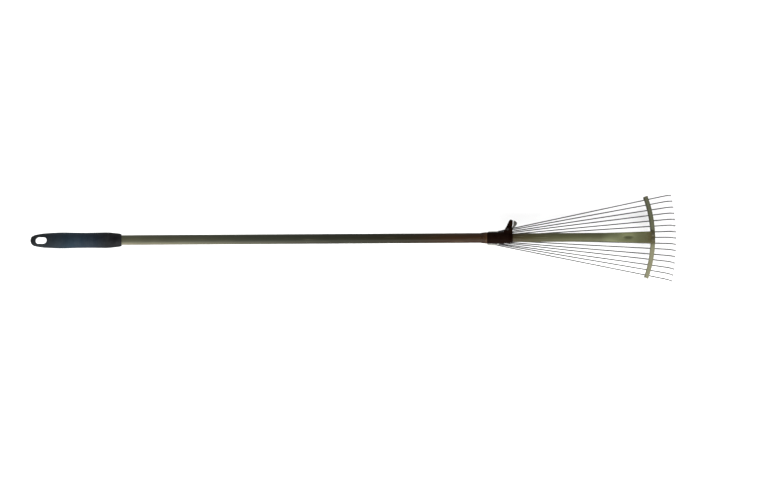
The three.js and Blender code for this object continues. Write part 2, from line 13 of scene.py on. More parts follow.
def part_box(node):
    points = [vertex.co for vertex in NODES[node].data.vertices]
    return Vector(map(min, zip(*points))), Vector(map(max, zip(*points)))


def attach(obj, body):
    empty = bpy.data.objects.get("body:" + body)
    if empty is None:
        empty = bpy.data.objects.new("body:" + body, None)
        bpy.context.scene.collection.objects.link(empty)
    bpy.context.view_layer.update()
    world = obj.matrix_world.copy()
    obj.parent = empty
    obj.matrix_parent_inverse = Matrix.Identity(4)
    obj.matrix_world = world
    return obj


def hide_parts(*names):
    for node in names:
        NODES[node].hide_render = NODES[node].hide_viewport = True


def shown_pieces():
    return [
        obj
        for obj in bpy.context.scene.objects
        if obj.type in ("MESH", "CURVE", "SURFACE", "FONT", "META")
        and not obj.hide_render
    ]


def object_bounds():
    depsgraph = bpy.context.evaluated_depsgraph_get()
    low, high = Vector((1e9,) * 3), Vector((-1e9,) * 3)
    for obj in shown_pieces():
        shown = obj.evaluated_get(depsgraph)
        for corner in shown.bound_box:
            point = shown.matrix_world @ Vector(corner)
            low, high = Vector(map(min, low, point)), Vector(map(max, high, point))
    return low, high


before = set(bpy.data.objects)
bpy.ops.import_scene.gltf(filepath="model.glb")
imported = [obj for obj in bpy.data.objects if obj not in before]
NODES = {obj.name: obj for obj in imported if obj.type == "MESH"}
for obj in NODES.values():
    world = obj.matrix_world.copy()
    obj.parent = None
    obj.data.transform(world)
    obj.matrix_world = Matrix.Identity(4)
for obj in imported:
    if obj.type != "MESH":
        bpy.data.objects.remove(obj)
cad_low, cad_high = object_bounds()

MM = 0.001

# ---- Places taken from the frame ----

grip_low, grip_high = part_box("grip")
tube_low, tube_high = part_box("handle_tube")
ferrule_low, ferrule_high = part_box("collar_ferrule")
collar_low, collar_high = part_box("clamp_collar")
head_low, head_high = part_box("head_tube")
bar_low, bar_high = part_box("guide_bar")
pin_low, pin_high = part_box("lever_pin")

axis_z = (tube_low.z + tube_high.z) / 2  # height of the tubes' centre line
tube_radius = (tube_high.z - tube_low.z) / 2
bore_radius = tube_radius + 0.3 * MM  # of the pieces that sit on the handle tube
collar_radius = bore_radius + 1.7 * MM
head_radius = axis_z - head_low.z
flat_thickness = 3.4 * MM  # of the head tube's pressed end
pivot = (pin_low + pin_high) / 2  # the lever's pin
lever_turn = math.radians(65)  # the lever stands open at this angle to the handle
bar_radius = 261 * MM  # curve of the guide bar's middle line
bar_width = 10 * MM
bar_wall = 1.4 * MM
bar_centre_x = bar_high.x - bar_width / 2 - bar_radius
wire_radius = 1.2 * MM
hook_radius = 14 * MM
hook_angle = math.radians(68)
root_bend = 1.8 * MM
screw_hole_radius = 1.8 * MM
pin_hole_radius = 1.8 * MM
plate_rivet_hole_radius = 1.9 * MM
bar_rivet_hole_radius = 2.5 * MM
slot_room = 0.4 * MM  # over and under a wire, in the bar's slots
lever_swing = math.radians(112)  # from standing open to lying shut


# ---- Hand tools ----

def only(piece):
    """Leaves one piece selected, and ready to be worked on."""
    if bpy.context.mode != "OBJECT":
        bpy.ops.object.mode_set(mode="OBJECT")
    bpy.ops.object.select_all(action="DESELECT")
    piece.select_set(True)
    bpy.context.view_layer.objects.active = piece
    return piece


def clear_bench():
    """Leaves nothing selected, so that a new primitive stands alone."""
    if bpy.context.mode != "OBJECT":
        bpy.ops.object.mode_set(mode="OBJECT")
    bpy.ops.object.select_all(action="DESELECT")


def settle(name=None):
    """Puts the place of the piece at hand into its mesh, and its origin at the frame's."""
    bpy.ops.object.transform_apply(location=True, rotation=True, scale=True)
    piece = bpy.context.object
    if name:
        piece.name = name
        piece.data.name = name
    return piece


def edit():
    """Takes the piece at hand into edit mode."""
    bpy.ops.object.mode_set(mode="EDIT")


def pick_all():
    """In edit mode, selects everything."""
    bpy.ops.mesh.select_all(action="SELECT")


def leave():
    """Takes the piece at hand out of edit mode."""
    bpy.ops.object.mode_set(mode="OBJECT")


def pick(test, kind="VERT"):
    """In edit mode, selects the vertices, edges or faces that pass the test."""
    bpy.ops.mesh.select_mode(type=kind)
    bpy.ops.mesh.select_all(action="DESELECT")
    mesh = bmesh.from_edit_mesh(bpy.context.object.data)
    mesh.normal_update()
    for item in {"VERT": mesh.verts, "EDGE": mesh.edges, "FACE": mesh.faces}[kind]:
        if test(item):
            item.select_set(True)
    mesh.select_flush_mode()
    bmesh.update_edit_mesh(bpy.context.object.data)


def pull(x=0.0, y=0.0, z=0.0):
    """Extrudes what is selected by this much."""
    bpy.ops.mesh.extrude_region_move(TRANSFORM_OT_translate={"value": (x, y, z)})


def clean(gap=1e-6):
    """In edit mode, welds doubles and turns every face outwards."""
    bpy.ops.mesh.select_mode(type="VERT")
    pick_all()
    bpy.ops.mesh.remove_doubles(threshold=gap)
    bpy.ops.mesh.normals_make_consistent(inside=False)


def ring_by_ring(name, profile, centre, sides=48, along="X"):
    """A turned piece, pulled out of one ring station by station.

    profile lists (distance, radius) or (distance, half width, half height). A profile that comes
    back to its first station closes on itself, and any other one is capped at both ends.
    """
    stations = [(p[0], p[1], p[2] if len(p) > 2 else p[1]) for p in profile]
    centre = Vector(centre)
    way = Vector((1, 0, 0)) if along == "X" else Vector((0, 0, 1))
    turn = (0, math.pi / 2, 0) if along == "X" else (0, 0, 0)
    first, last = stations[0], stations[-1]
    looped = max(abs(a - b) for a, b in zip(first, last)) < 1e-7
    clear_bench()
    bpy.ops.mesh.primitive_circle_add(
        vertices=sides, radius=1, location=centre + way * first[0], rotation=turn)
    settle(name)
    edit()
    pick_all()
    before = (0, 1, 1)
    for number, station in enumerate(stations):
        distance, wide, high = station
        here = centre + way * distance
        if number:
            pull(*(way * (distance - before[0])))
        ratio = (wide / before[1], high / before[2])
        scale = (1, ratio[0], ratio[1]) if along == "X" else (ratio[0], ratio[1], 1)
        bpy.ops.transform.resize(value=scale, center_override=here)
        if not looped and number in (0, len(stations) - 1):
            bpy.ops.mesh.edge_face_add()
            if number == 0:
                pick(lambda edge: True, "EDGE")
        before = station
    clean()
    leave()
    return bpy.context.object


def traced(name, outline, low, high):
    """A piece traced corner by corner, filled in, and pulled up from low to high."""
    clear_bench()
    bpy.ops.mesh.primitive_plane_add(size=MM, location=(*outline[0], low))
    settle(name)
    edit()
    bpy.ops.mesh.select_mode(type="VERT")
    pick_all()
    bpy.ops.mesh.merge(type="CENTER")
    for here, there in zip(outline, outline[1:] + outline[:1]):
        bpy.ops.mesh.extrude_region_move(
            TRANSFORM_OT_translate={"value": (there[0] - here[0], there[1] - here[1], 0)})
    pick_all()
    bpy.ops.mesh.remove_doubles(threshold=1e-7)
    bpy.ops.mesh.edge_face_add()
    pull(z=high - low)
    clean()
    leave()
    return bpy.context.object


def combine(piece, tool, way):
    """Cuts a tool out of a piece, or joins it on, and puts the tool away."""
    only(piece)
    modifier = piece.modifiers.new("Shape", "BOOLEAN")
    modifier.operation = way
    modifier.solver = "EXACT"
    modifier.object = tool
    bpy.ops.object.modifier_apply(modifier=modifier.name)
    bpy.data.objects.remove(tool)
    return piece


def cut(piece, *tools):
    for tool in tools:
        combine(piece, tool, "DIFFERENCE")
    return piece


def join(piece, *tools):
    for tool in tools:
        combine(piece, tool, "UNION")
    return piece


def soften(piece, width, segments=2, angle=35.0):
    """Rounds the edges sharper than the angle."""
    only(piece)
    modifier = piece.modifiers.new("Edges", "BEVEL")
    modifier.width = width
    modifier.segments = segments
    modifier.limit_method = "ANGLE"
    modifier.angle_limit = math.radians(angle)
    modifier.miter_outer = "MITER_ARC"
    bpy.ops.object.modifier_apply(modifier=modifier.name)
    return smooth(piece)


def smooth(piece, angle=38.0):
    only(piece)
    bpy.ops.object.shade_smooth_by_angle(angle=math.radians(angle))
    return piece


def block(name, low, high):
    """A plain block, ready to be shaped."""
    low, high = Vector(low), Vector(high)
    clear_bench()
    bpy.ops.mesh.primitive_cube_add(size=1, location=(low + high) / 2, scale=high - low)
    return settle(name)


def rod(name, centre, radius, low, high, sides=32):
    """A plain upright rod, ready to be shaped or to bore a hole with."""
    clear_bench()
    bpy.ops.mesh.primitive_cylinder_add(
        vertices=sides, radius=radius, depth=high - low,
        location=(centre[0], centre[1], (low + high) / 2))
    return settle(name)


def side_rod(name, x, radius, low, high, side):
    """A plain rod that points out of the tubes' centre line, to the +Y or the -Y side."""
    clear_bench()
    bpy.ops.mesh.primitive_cylinder_add(
        vertices=32, radius=radius, depth=high - low, location=(x, side * (low + high) / 2, axis_z),
        rotation=(math.pi / 2, 0, 0))
    return settle(name)


def stand_in(piece, body, slot, *nodes):
    """The piece takes the place of these frame nodes, on their body."""
    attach(piece, body)
    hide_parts(*nodes)
    return piece


def along_curve(points, steps):
    """Smooth values through the given points, as (distance, value) pairs."""
    made = []
    for i in range(len(points) - 1):
        before = points[max(i - 1, 0)]
        a, b = points[i], points[i + 1]
        after = points[min(i + 2, len(points) - 1)]
        for k in range(steps):
            t = k / steps
            made.append(tuple(
                0.5 * (2 * q + (r - p) * t + (2 * p - 5 * q + 4 * r - s) * t * t
                       + (3 * q - p - 3 * r + s) * t ** 3)
                for p, q, r, s in zip(before, a, b, after)))
    return made + [points[-1]]


def ease(value, low, high):
    """0 below low, 1 above high, and smooth between them."""
    t = min(max((value - low) / (high - low), 0), 1)
    return t * t * (3 - 2 * t)


# ---- Grip ----

def make_grip():
    belly = bore_radius + 6.5 * MM
    waist = bore_radius + 5.6 * MM
    shoulder = bore_radius + 6.1 * MM
    mouth = bore_radius + 2 * MM
    length = grip_high.x - grip_low.x
    skin = along_curve(
        [
            (0.9 * MM, 4.6 * MM),
            (3.2 * MM, belly - 9.0 * MM),
            (9 * MM, belly - 5.7 * MM),
            (20 * MM, belly - 3.2 * MM),
            (36 * MM, belly - 1.5 * MM),
            (70 * MM, belly),
            (99 * MM, waist + 0.2 * MM),
            (128 * MM, waist),
            (length - 34 * MM, shoulder),
            (length - 17 * MM, shoulder - 1.2 * MM),
            (length - 4 * MM, mouth + 1.4 * MM),
        ],
        8,
    )
    ribs_from, ribs_to, rib_pitch, rib_depth = 64 * MM, length - 22 * MM, 4.4 * MM, 0.38 * MM
    profile = [(0.0, 0.5 * MM), (0.05 * MM, 1.7 * MM), (0.35 * MM, 3.2 * MM)]
    profile += [(x, r) for x, r in skin if not ribs_from < x < ribs_to]
    x = ribs_from
    while x < ribs_to:
        place = (x - ribs_from) / rib_pitch
        groove = max(0.0, math.cos(2 * math.pi * place)) ** 3
        groove *= ease(x, ribs_from, ribs_from + 9 * MM) * (1 - ease(x, ribs_to - 9 * MM, ribs_to))
        radius = next(
            a[1] + (b[1] - a[1]) * (x - a[0]) / (b[0] - a[0])
            for a, b in zip(skin, skin[1:]) if a[0] <= x <= b[0])
        profile.append((x, radius - rib_depth * groove))
        x += rib_pitch / 8
    profile.sort()
    profile += [
        (length - 1.4 * MM, mouth + 0.5 * MM),
        (length - 0.5 * MM, mouth + 0.05 * MM),
        (length, mouth - 0.6 * MM),
        (length, bore_radius + 0.5 * MM),
        (length - 0.5 * MM, bore_radius),
        (length - 60 * MM, bore_radius),
        (tube_low.x - grip_low.x - 0.3 * MM, bore_radius),
    ]
    butt = []
    for number, (x, radius) in enumerate(profile):
        bore = number >= len(profile) - 4
        flat = 0 if bore else 0.26 * (1 - ease(x, 24 * MM, 62 * MM))
        butt.append((x, radius, radius * (1 - flat)))
    grip = ring_by_ring("grip_handle", butt, (grip_low.x, 0, axis_z), sides=64)
    hole_x = grip_low.x + 24 * MM
    hole = rod("hole_tool", (hole_x, 0), 7.5 * MM, axis_z - 30 * MM, axis_z + 30 * MM, 48)
    only(hole)
    edit()
    pick(lambda v: v.co.x > hole_x + 1e-5)
    bpy.ops.transform.translate(value=(5 * MM, 0, 0))
    pick(lambda v: v.co.x < hole_x - 1e-5)
    bpy.ops.transform.translate(value=(-5 * MM, 0, 0))
    leave()
    cut(grip, hole)
    only(grip)
    edit()
    pick_all()
    bpy.ops.mesh.remove_doubles(threshold=0.25 * MM)

    def on_wall(v):
        dx = max(abs(v.co.x - hole_x) - 5 * MM, 0)
        return abs(math.hypot(dx, v.co.y) - 7.5 * MM) < 0.12 * MM

    pick(lambda e: all(on_wall(v) for v in e.verts) and len(e.link_faces) == 2
         and e.calc_face_angle() > math.radians(35), "EDGE")
    bpy.ops.mesh.bevel(offset=0.7 * MM, segments=3, affect="EDGES", clamp_overlap=True)
    clean()
    leave()
    smooth(grip, 50)
    return stand_in(grip, "handle", "grip_plastic", "grip")


# ---- Handle tube, ferrule, collar ----

def make_handle_tube():
    wall, edge = 0.7 * MM, 0.2 * MM
    inner = tube_radius - wall
    length = tube_high.x - tube_low.x
    profile = [(0, inner), (0, tube_radius - edge), (edge, tube_radius)]
    profile += [(length * k / 24, tube_radius) for k in range(1, 24)]
    profile += [
        (length - edge, tube_radius), (length, tube_radius - edge), (length, inner), (0, inner)]
    tube = ring_by_ring("tube_of_handle", profile, (tube_low.x, 0, axis_z), sides=72)
    for _, x, side in screw_places():
        cut(tube, side_rod("screw_hole", x, screw_hole_radius, inner - MM, tube_radius + MM, side))
    return stand_in(smooth(tube), "handle", "handle_paint", "handle_tube")


def make_ferrule():
    length = ferrule_high.x - ferrule_low.x
    thick = (ferrule_high.z - ferrule_low.z) / 2
    lip = bore_radius + 0.5 * MM
    profile = [
        (0, bore_radius), (0, lip - 0.15 * MM), (0.2 * MM, lip), (1.6 * MM, lip + 0.12 * MM),
        (2.2 * MM, lip - 0.05 * MM), (2.8 * MM, lip + 0.16 * MM),
        (length - 4.2 * MM, thick - 0.25 * MM), (length - 3 * MM, thick), (length - 0.4 * MM, thick),
        (length, thick - 0.4 * MM), (length, bore_radius), (0, bore_radius),
    ]
    ring = ring_by_ring("ferrule_ring", profile, (ferrule_low.x, 0, axis_z), sides=72)
    return stand_in(smooth(ring, 30), "handle", "handle_paint", "collar_ferrule")


def screw_places():
    """Each collar screw: its node, its place along the tubes, and its side."""
    low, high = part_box("collar_screw_1")
    x = (low.x + high.x) / 2
    return [("collar_screw_1", x, 1), ("collar_screw_2", x, -1)]


def make_collar():
    x0, x1 = collar_low.x, collar_high.x
    length = x1 - x0
    outer = collar_radius
    nose = outer - 1 * MM
    bush_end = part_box("tube_bush")[1].x + 0.3 * MM - x0
    slide = head_radius + 0.3 * MM
    profile = [
        (0, outer - 0.9 * MM), (0.3 * MM, outer - 0.35 * MM), (1 * MM, outer),
        (3.4 * MM, outer), (3.9 * MM, outer - 0.45 * MM), (4.9 * MM, outer - 0.45 * MM),
        (5.4 * MM, outer), (length - 20 * MM, outer), (length - 5 * MM, nose + 0.2 * MM),
        (length - 4.4 * MM, nose - 0.25 * MM),
        (length - 3.6 * MM, nose - 0.25 * MM), (length - 3 * MM, nose + 0.1 * MM),
        (length - 1 * MM, nose), (length - 0.3 * MM, nose - 0.35 * MM), (length, nose - 0.9 * MM),
    ]
    collar = ring_by_ring("collar_of_clamp", profile, (x0, 0, axis_z), sides=72)
    foot_half, foot_low, foot_taper = 10 * MM, axis_z - outer - 0.7 * MM, 0.82
    plate_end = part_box("carrier_upper_plate")[1].x
    foot = block(
        "foot", (x0 + 0.2 * MM, -foot_half, foot_low), (plate_end, foot_half, axis_z - 5.5 * MM))
    only(foot)
    edit()
    pick(lambda f: f.normal.z > 0.9, "FACE")
    bpy.ops.transform.resize(value=(1, foot_taper, 1), center_override=(x0, 0, axis_z))
    leave()
    soften(foot, 0.8 * MM, 3)
    pieces = [foot]
    ear_radius, ear_foot, ear_thickness = 5.7 * MM, 7.8 * MM, 3 * MM
    grip_reach, head_reach, round_to = 8.2 * MM, 10.6 * MM, math.radians(158)
    outline = [
        (pivot.x - grip_reach, ear_foot), (pivot.x + head_reach, ear_foot),
        (pivot.x + head_reach, pivot.y + 0.9 * MM),
        (pivot.x + head_reach - 0.5 * MM, pivot.y + 1.4 * MM)]
    for k in range(17):
        angle = lever_turn + (round_to - lever_turn) * k / 16
        outline.append((pivot.x + ear_radius * math.cos(angle), pivot.y + ear_radius * math.sin(angle)))
    outline.append((pivot.x - grip_reach, outer - 0.2 * MM))
    for low in (axis_z + 5.25 * MM, axis_z - 8.25 * MM):
        pieces.append(soften(traced("ear", outline, low, low + ear_thickness), 0.35 * MM, 2))
    join(collar, *pieces)
    half_long, half_tall = 6.3 * MM, 4.8 * MM
    window = block(
        "window", (pivot.x - half_long, head_radius - 3 * MM, axis_z - half_tall),
        (pivot.x + half_long, outer + 1 * MM, axis_z + half_tall))
    pin_hole = rod(
        "pin_hole", (pivot.x, pivot.y), pin_hole_radius, axis_z - 20 * MM, axis_z + 20 * MM, 24)
    bore = ring_by_ring(
        "bore", [
            (-MM, bore_radius + 0.3 * MM), (0, bore_radius + 0.3 * MM), (0.3 * MM, bore_radius),
            (bush_end, bore_radius), (bush_end, slide), (length - 0.4 * MM, slide),
            (length, slide + 0.4 * MM), (length + MM, slide + 0.4 * MM)],
        (x0, 0, axis_z), sides=72)
    tools = [bore, window, pin_hole]
    for _, x, side in screw_places():
        tools.append(side_rod("pocket", x, 3.2 * MM, outer - 1.3 * MM, outer + 1.3 * MM, side))
        tools.append(side_rod("shank_hole", x, screw_hole_radius, bore_radius - MM, outer, side))
    for node in ("carrier_rivet_1", "carrier_rivet_2", "carrier_rivet_3"):
        low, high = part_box(node)
        tools.append(rod(
            "rivet_hole", (low + high) / 2, plate_rivet_hole_radius, foot_low - MM, high.z + 0.3 * MM, 24))
    cut(collar, *tools)
    soften(collar, 0.3 * MM, 2, 40)
    return stand_in(collar, "handle", "clamp_plastic", "clamp_collar")


def make_screws():
    outer = collar_radius
    tip, seat, top = bore_radius - 1.1 * MM, outer - 1 * MM, outer - 0.25 * MM
    shank, slot_half, slot_wide = 1.45 * MM, 1.7 * MM, 0.27 * MM
    for name, x, side in screw_places():
        screw = ring_by_ring(
            "head_of_" + name,
            [(tip, shank), (seat, shank), (seat, 2.65 * MM), (seat + 0.15 * MM, 2.83 * MM),
             (top - 0.2 * MM, 2.83 * MM), (top - 0.05 * MM, 2.5 * MM), (top, 1.6 * MM)],
            (0, 0, 0), sides=32, along="Z")
        for turn in (0, math.pi / 2):
            slot = block(
                "slot", (-slot_half, -slot_wide, outer - 0.8 * MM), (slot_half, slot_wide, outer + MM))
            slot.rotation_euler.z = turn
            only(slot)
            settle()
            cut(screw, slot)
        screw.rotation_euler = (-side * math.pi / 2, 0, 0)
        screw.location = (x, 0, axis_z)
        only(screw)
        settle()
        smooth(screw, 30)
        stand_in(screw, "handle", "fastener_steel", name)


# ---- Cam lever ----

def make_lever():
    """Laid out about the pivot along X, with the grooved face towards +Y, then stood up."""
    inner, outer, tip_outer, length = 4.9 * MM, 7.4 * MM, 3.2 * MM, 22.8 * MM
    thick_until, strap_thickness, bulge = 9.2 * MM, 3 * MM, 13.8 * MM
    neck, wide, past = 4.9 * MM, 8 * MM, 9.3 * MM
    groove_radius, grooves = 0.75 * MM, [(10.5 + 2.7 * k) * MM for k in range(4)]
    cam_radius, cam_lift = 4 * MM, 0.4 * MM  # the cam grows by its lift for each radian
    cam_start = math.pi * 1.5 - lever_turn - lever_swing

    def arc(x, y, radius, start, stop, steps):
        return [
            (x + radius * math.cos(start + (stop - start) * k / steps),
             y + radius * math.sin(start + (stop - start) * k / steps))
            for k in range(steps + 1)]

    outline = [(6.7 * MM, inner)]
    for k in range(21):
        angle = cam_start + lever_swing * k / 20
        radius = cam_radius + cam_lift * lever_swing * (1 - k / 20)
        outline.append((radius * math.cos(angle), radius * math.sin(angle)))
    outline += arc(0, 0, cam_radius, cam_start + lever_swing, math.pi * 1.7, 8)[1:]
    arm_end = [(thick_until, -outer), (length - 2 * MM, -tip_outer)]
    arm_end += quadratic(
        arm_end[-1], (length - 0.2 * MM, 0.6 * MM - tip_outer), (length, 2 * MM - tip_outer), 4)[1:]
    arm_end += arc(length - 4 * MM, inner - 4 * MM, 4 * MM, 0, math.pi / 2, 8)
    body = traced("lever_body", outline + [(4.4 * MM, -outer)] + arm_end, -wide, wide)
    narrow(body, neck, past)
    for x in grooves:
        groove = rod("groove", (0, 0), groove_radius, -20 * MM, 20 * MM, 20)
        groove.location = (x, inner + 0.35 * MM, 0)
        only(groove)
        settle()
        cut(body, groove)
    cut(body, rod("pin_hole", (0, 0), pin_hole_radius, -20 * MM, 20 * MM, 28))
    soften(body, 0.45 * MM, 3)
    stand_up(body, "lever_of_clamp", "lever", "clamp_plastic", "cam_lever")

    back = -outer - 0.3 * MM
    slit = thick_until + 3.2 * MM
    tip, belly = (length + 0.4 * MM, -tip_outer - 1.2 * MM), (length - 3.4 * MM, -bulge)
    bow = quadratic(tip, (length + 1.4 * MM, 1.5 * MM - bulge), belly, 8)
    bow += quadratic(belly, (slit, 0.6 * MM - bulge), (slit - 3.4 * MM, back - strap_thickness), 10)[1:]
    strap = [(1.2 * MM, back - 1.2 * MM), (3.4 * MM, back), (slit, back)] + bow
    strap += [(2 * MM, back - strap_thickness)]
    plate = traced("plate_body", strap, -wide, wide)
    narrow(plate, neck, past)
    soften(plate, 0.5 * MM, 3)
    stand_up(plate, "plate_of_lever", "lever", "lever_steel", "lever_plate")


def narrow(piece, neck, past):
    """Cuts both cheeks of a lever piece back to its neck, as far as the ears reach."""
    for side in (-1, 1):
        low, high = sorted((side * neck, side * 12 * MM))
        cut(piece, block("cheek", (-20 * MM, -30 * MM, low), (past, 30 * MM, high)))


def quadratic(start, control, end, steps):
    """Points on a smooth bend from start to end, drawn towards the control point."""
    made = []
    for k in range(steps + 1):
        t = k / steps
        made.append(tuple(
            (1 - t) ** 2 * a + 2 * t * (1 - t) * b + t * t * c for a, b, c in zip(start, control, end)))
    return made


def stand_up(piece, name, body, slot, node):
    """Turns a piece laid out about the pivot to where the open lever stands."""
    piece.name = name
    piece.rotation_euler.z = lever_turn
    piece.location = pivot
    only(piece)
    settle()
    return stand_in(piece, body, slot, node)


def make_pin():
    reach = 8.5 * MM
    profile = [
        (-reach - 1 * MM, 1.7 * MM), (-reach - 0.8 * MM, 2.3 * MM), (-reach - 0.4 * MM, 2.6 * MM),
        (-reach, 2.55 * MM), (-reach, 1.5 * MM), (reach, 1.5 * MM), (reach, 2.55 * MM),
        (reach + 0.4 * MM, 2.6 * MM), (reach + 0.8 * MM, 2.3 * MM), (reach + 1 * MM, 1.7 * MM),
    ]
    pin = ring_by_ring("pin_of_lever", profile, pivot, sides=28, along="Z")
    stand_in(smooth(pin, 30), "handle", "fastener_steel", "lever_pin")


# ---- Head tube ----

def flat_ring(name, x, width, thick, side):
    """An upright ring of wire with round ends, with its points evenly spread."""
    clear_bench()
    bpy.ops.mesh.primitive_plane_add(
        size=1, location=(x, 0, axis_z - head_radius + thick / 2), rotation=(0, math.pi / 2, 0))
    ring = bpy.context.object
    ring.scale = (thick, width, 1)
    settle(name)
    edit()
    bpy.ops.mesh.select_mode(type="VERT")
    pick_all()
    bpy.ops.mesh.bevel(offset=thick / 2 * 0.98, segments=side // 2, affect="VERTICES")
    bpy.ops.mesh.select_mode(type="FACE")
    pick_all()
    bpy.ops.mesh.delete(type="ONLY_FACE")
    pick(lambda e: e.calc_length() > thick, "EDGE")
    bpy.ops.mesh.subdivide(number_cuts=(72 - 2 * side) // 2 - 1)
    pick_all()
    bpy.ops.mesh.remove_doubles(threshold=0.1 * MM)
    leave()
    return ring


def rivet_holes():
    """Tools for the two holes that hold the bar's rivets."""
    tools = []
    for node in ("bar_rivet_1", "bar_rivet_2"):
        low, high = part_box(node)
        tools.append(rod(
            "rivet_hole", (low + high) / 2, bar_rivet_hole_radius, low.z - MM, high.z + MM, 28))
    return tools


def make_head_tube():
    end = head_high.x
    press_start, press_end = end - 110 * MM, end - 70 * MM
    length = press_start - head_low.x
    stem = head_radius - 0.8 * MM
    thick, width = flat_thickness, 26.4 * MM
    mid_width = 2 * (head_radius + (width / 2 - head_radius) * 40 / 110)
    profile = [
        (11.6 * MM, stem), (0.3 * MM, stem), (0, stem + 0.15 * MM), (0, head_radius - 0.2 * MM),
        (0.2 * MM, head_radius)]
    profile += [(length * k / 12, head_radius) for k in range(1, 13)]
    tube = ring_by_ring("tube_of_head", profile, (head_low.x, 0, axis_z), sides=72)
    first = flat_ring("first_flat", press_end, mid_width, thick, 8)
    last = flat_ring("last_flat", end - 0.5 * MM, width, thick, 8)
    only(tube)
    edit()
    pick(lambda f: f.normal.x > 0.99 and f.calc_center_median().x > press_start - MM, "FACE")
    bpy.ops.mesh.delete(type="ONLY_FACE")
    leave()
    for ring in (first, last):
        ring.select_set(True)
    bpy.ops.object.join()
    edit()
    for low, high, cuts, way in (
        (press_start, press_end, 16, "PATH"), (press_end, end - 0.5 * MM, 58, "LINEAR")):
        pick(lambda e: all(
            min(abs(v.co.x - low), abs(v.co.x - high)) < 1e-5 for v in e.verts)
            and (len(e.link_faces) < 2) and abs(e.verts[0].co.x - e.verts[1].co.x) < 1e-5, "EDGE")
        bpy.ops.mesh.bridge_edge_loops(
            type="PAIRS", number_cuts=cuts, interpolation=way, smoothness=1.0)
    pick(lambda e: len(e.link_faces) < 2, "EDGE")
    pull(x=0.5 * MM)
    bpy.ops.transform.resize(
        value=(1, 0.965, 0.76), center_override=(end, 0, axis_z - head_radius + thick / 2))
    bpy.ops.mesh.edge_face_add()
    clean()
    pick(lambda v: v.co.z < head_low.z)
    bpy.ops.transform.resize(value=(1, 1, 0), center_override=(0, 0, head_low.z))
    top = axis_z - head_radius + thick
    dimple_from, dimple_to, dimple_depth, dimple_spread = 64.5 * MM, 52.5 * MM, 1.25 * MM, 5.4 * MM
    pick(lambda v: v.co.z > top - 0.02 * MM and abs(v.co.y) < 1.0 * MM
         and end - dimple_from < v.co.x < end - dimple_to)
    bpy.ops.transform.translate(
        value=(0, 0, -dimple_depth), use_proportional_edit=True, proportional_edit_falloff="SMOOTH",
        proportional_size=dimple_spread, use_proportional_connected=True)
    leave()
    cut(tube, *rivet_holes())
    return stand_in(smooth(tube, 60), "head", "head_paint", "head_tube")


# ---- Guide bar ----

TINES = [f"tine_{number}" for number in range(1, 16)]
UPPER_TINES = TINES[1::2]


def tine_level(node):
    """Height of the layer that a tine lies in."""
    if node in UPPER_TINES:
        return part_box("carrier_upper_plate")[0].z - 0.6 * MM - wire_radius
    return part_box("carrier_lower_plate")[1].z + 0.6 * MM + wire_radius


def tine_line(node):
    """A tine's root, its heading across the floor, and its reach, measured off the frame."""
    points = [v.co.copy() for v in NODES[node].data.vertices]
    level = tine_level(node)
    nearest = min(p.x for p in points)
    pin = [p for p in points if p.x < nearest + 4 * MM and abs(p.z - level) > 3 * MM]
    root = sum(pin, Vector()) / len(pin)
    root.z = level
    spans = [Vector((p.x - root.x, p.y - root.y)) for p in points]
    reach = max(span.length for span in spans)
    far = [span for span in spans if span.length > reach - 1e-5]
    heading = sum(far, Vector((0, 0)))
    return root, math.atan2(heading.y, heading.x), reach


def bar_crossing(root, heading, radius):
    """How far across the fan a tine crosses this curve of the bar."""
    dx = root.x - bar_centre_x
    along = dx * math.cos(heading) + root.y * math.sin(heading)
    span = -along + math.sqrt(along * along - dx * dx - root.y * root.y + radius * radius)
    return root.y + span * math.sin(heading)


def bar_slots():
    """The slots of the frame's bar, as (offset of the flange's face, height, one end, other end)."""
    found = []
    points = [v.co for v in NODES["guide_bar"].data.vertices]
    for node in TINES:
        root, heading, _ = tine_line(node)
        top = root.z + wire_radius + slot_room
        for face in (-bar_width / 2, bar_width / 2):
            radius = bar_radius + face
            middle = bar_crossing(root, heading, radius)
            ends = [
                p.y for p in points
                if abs(p.z - top) < 2e-5 and abs(p.y - middle) < 11 * MM
                and abs(math.hypot(p.x - bar_centre_x, p.y) - radius) < 0.1 * MM]
            found.append((face, root.z, min(ends), max(ends)))
    return found


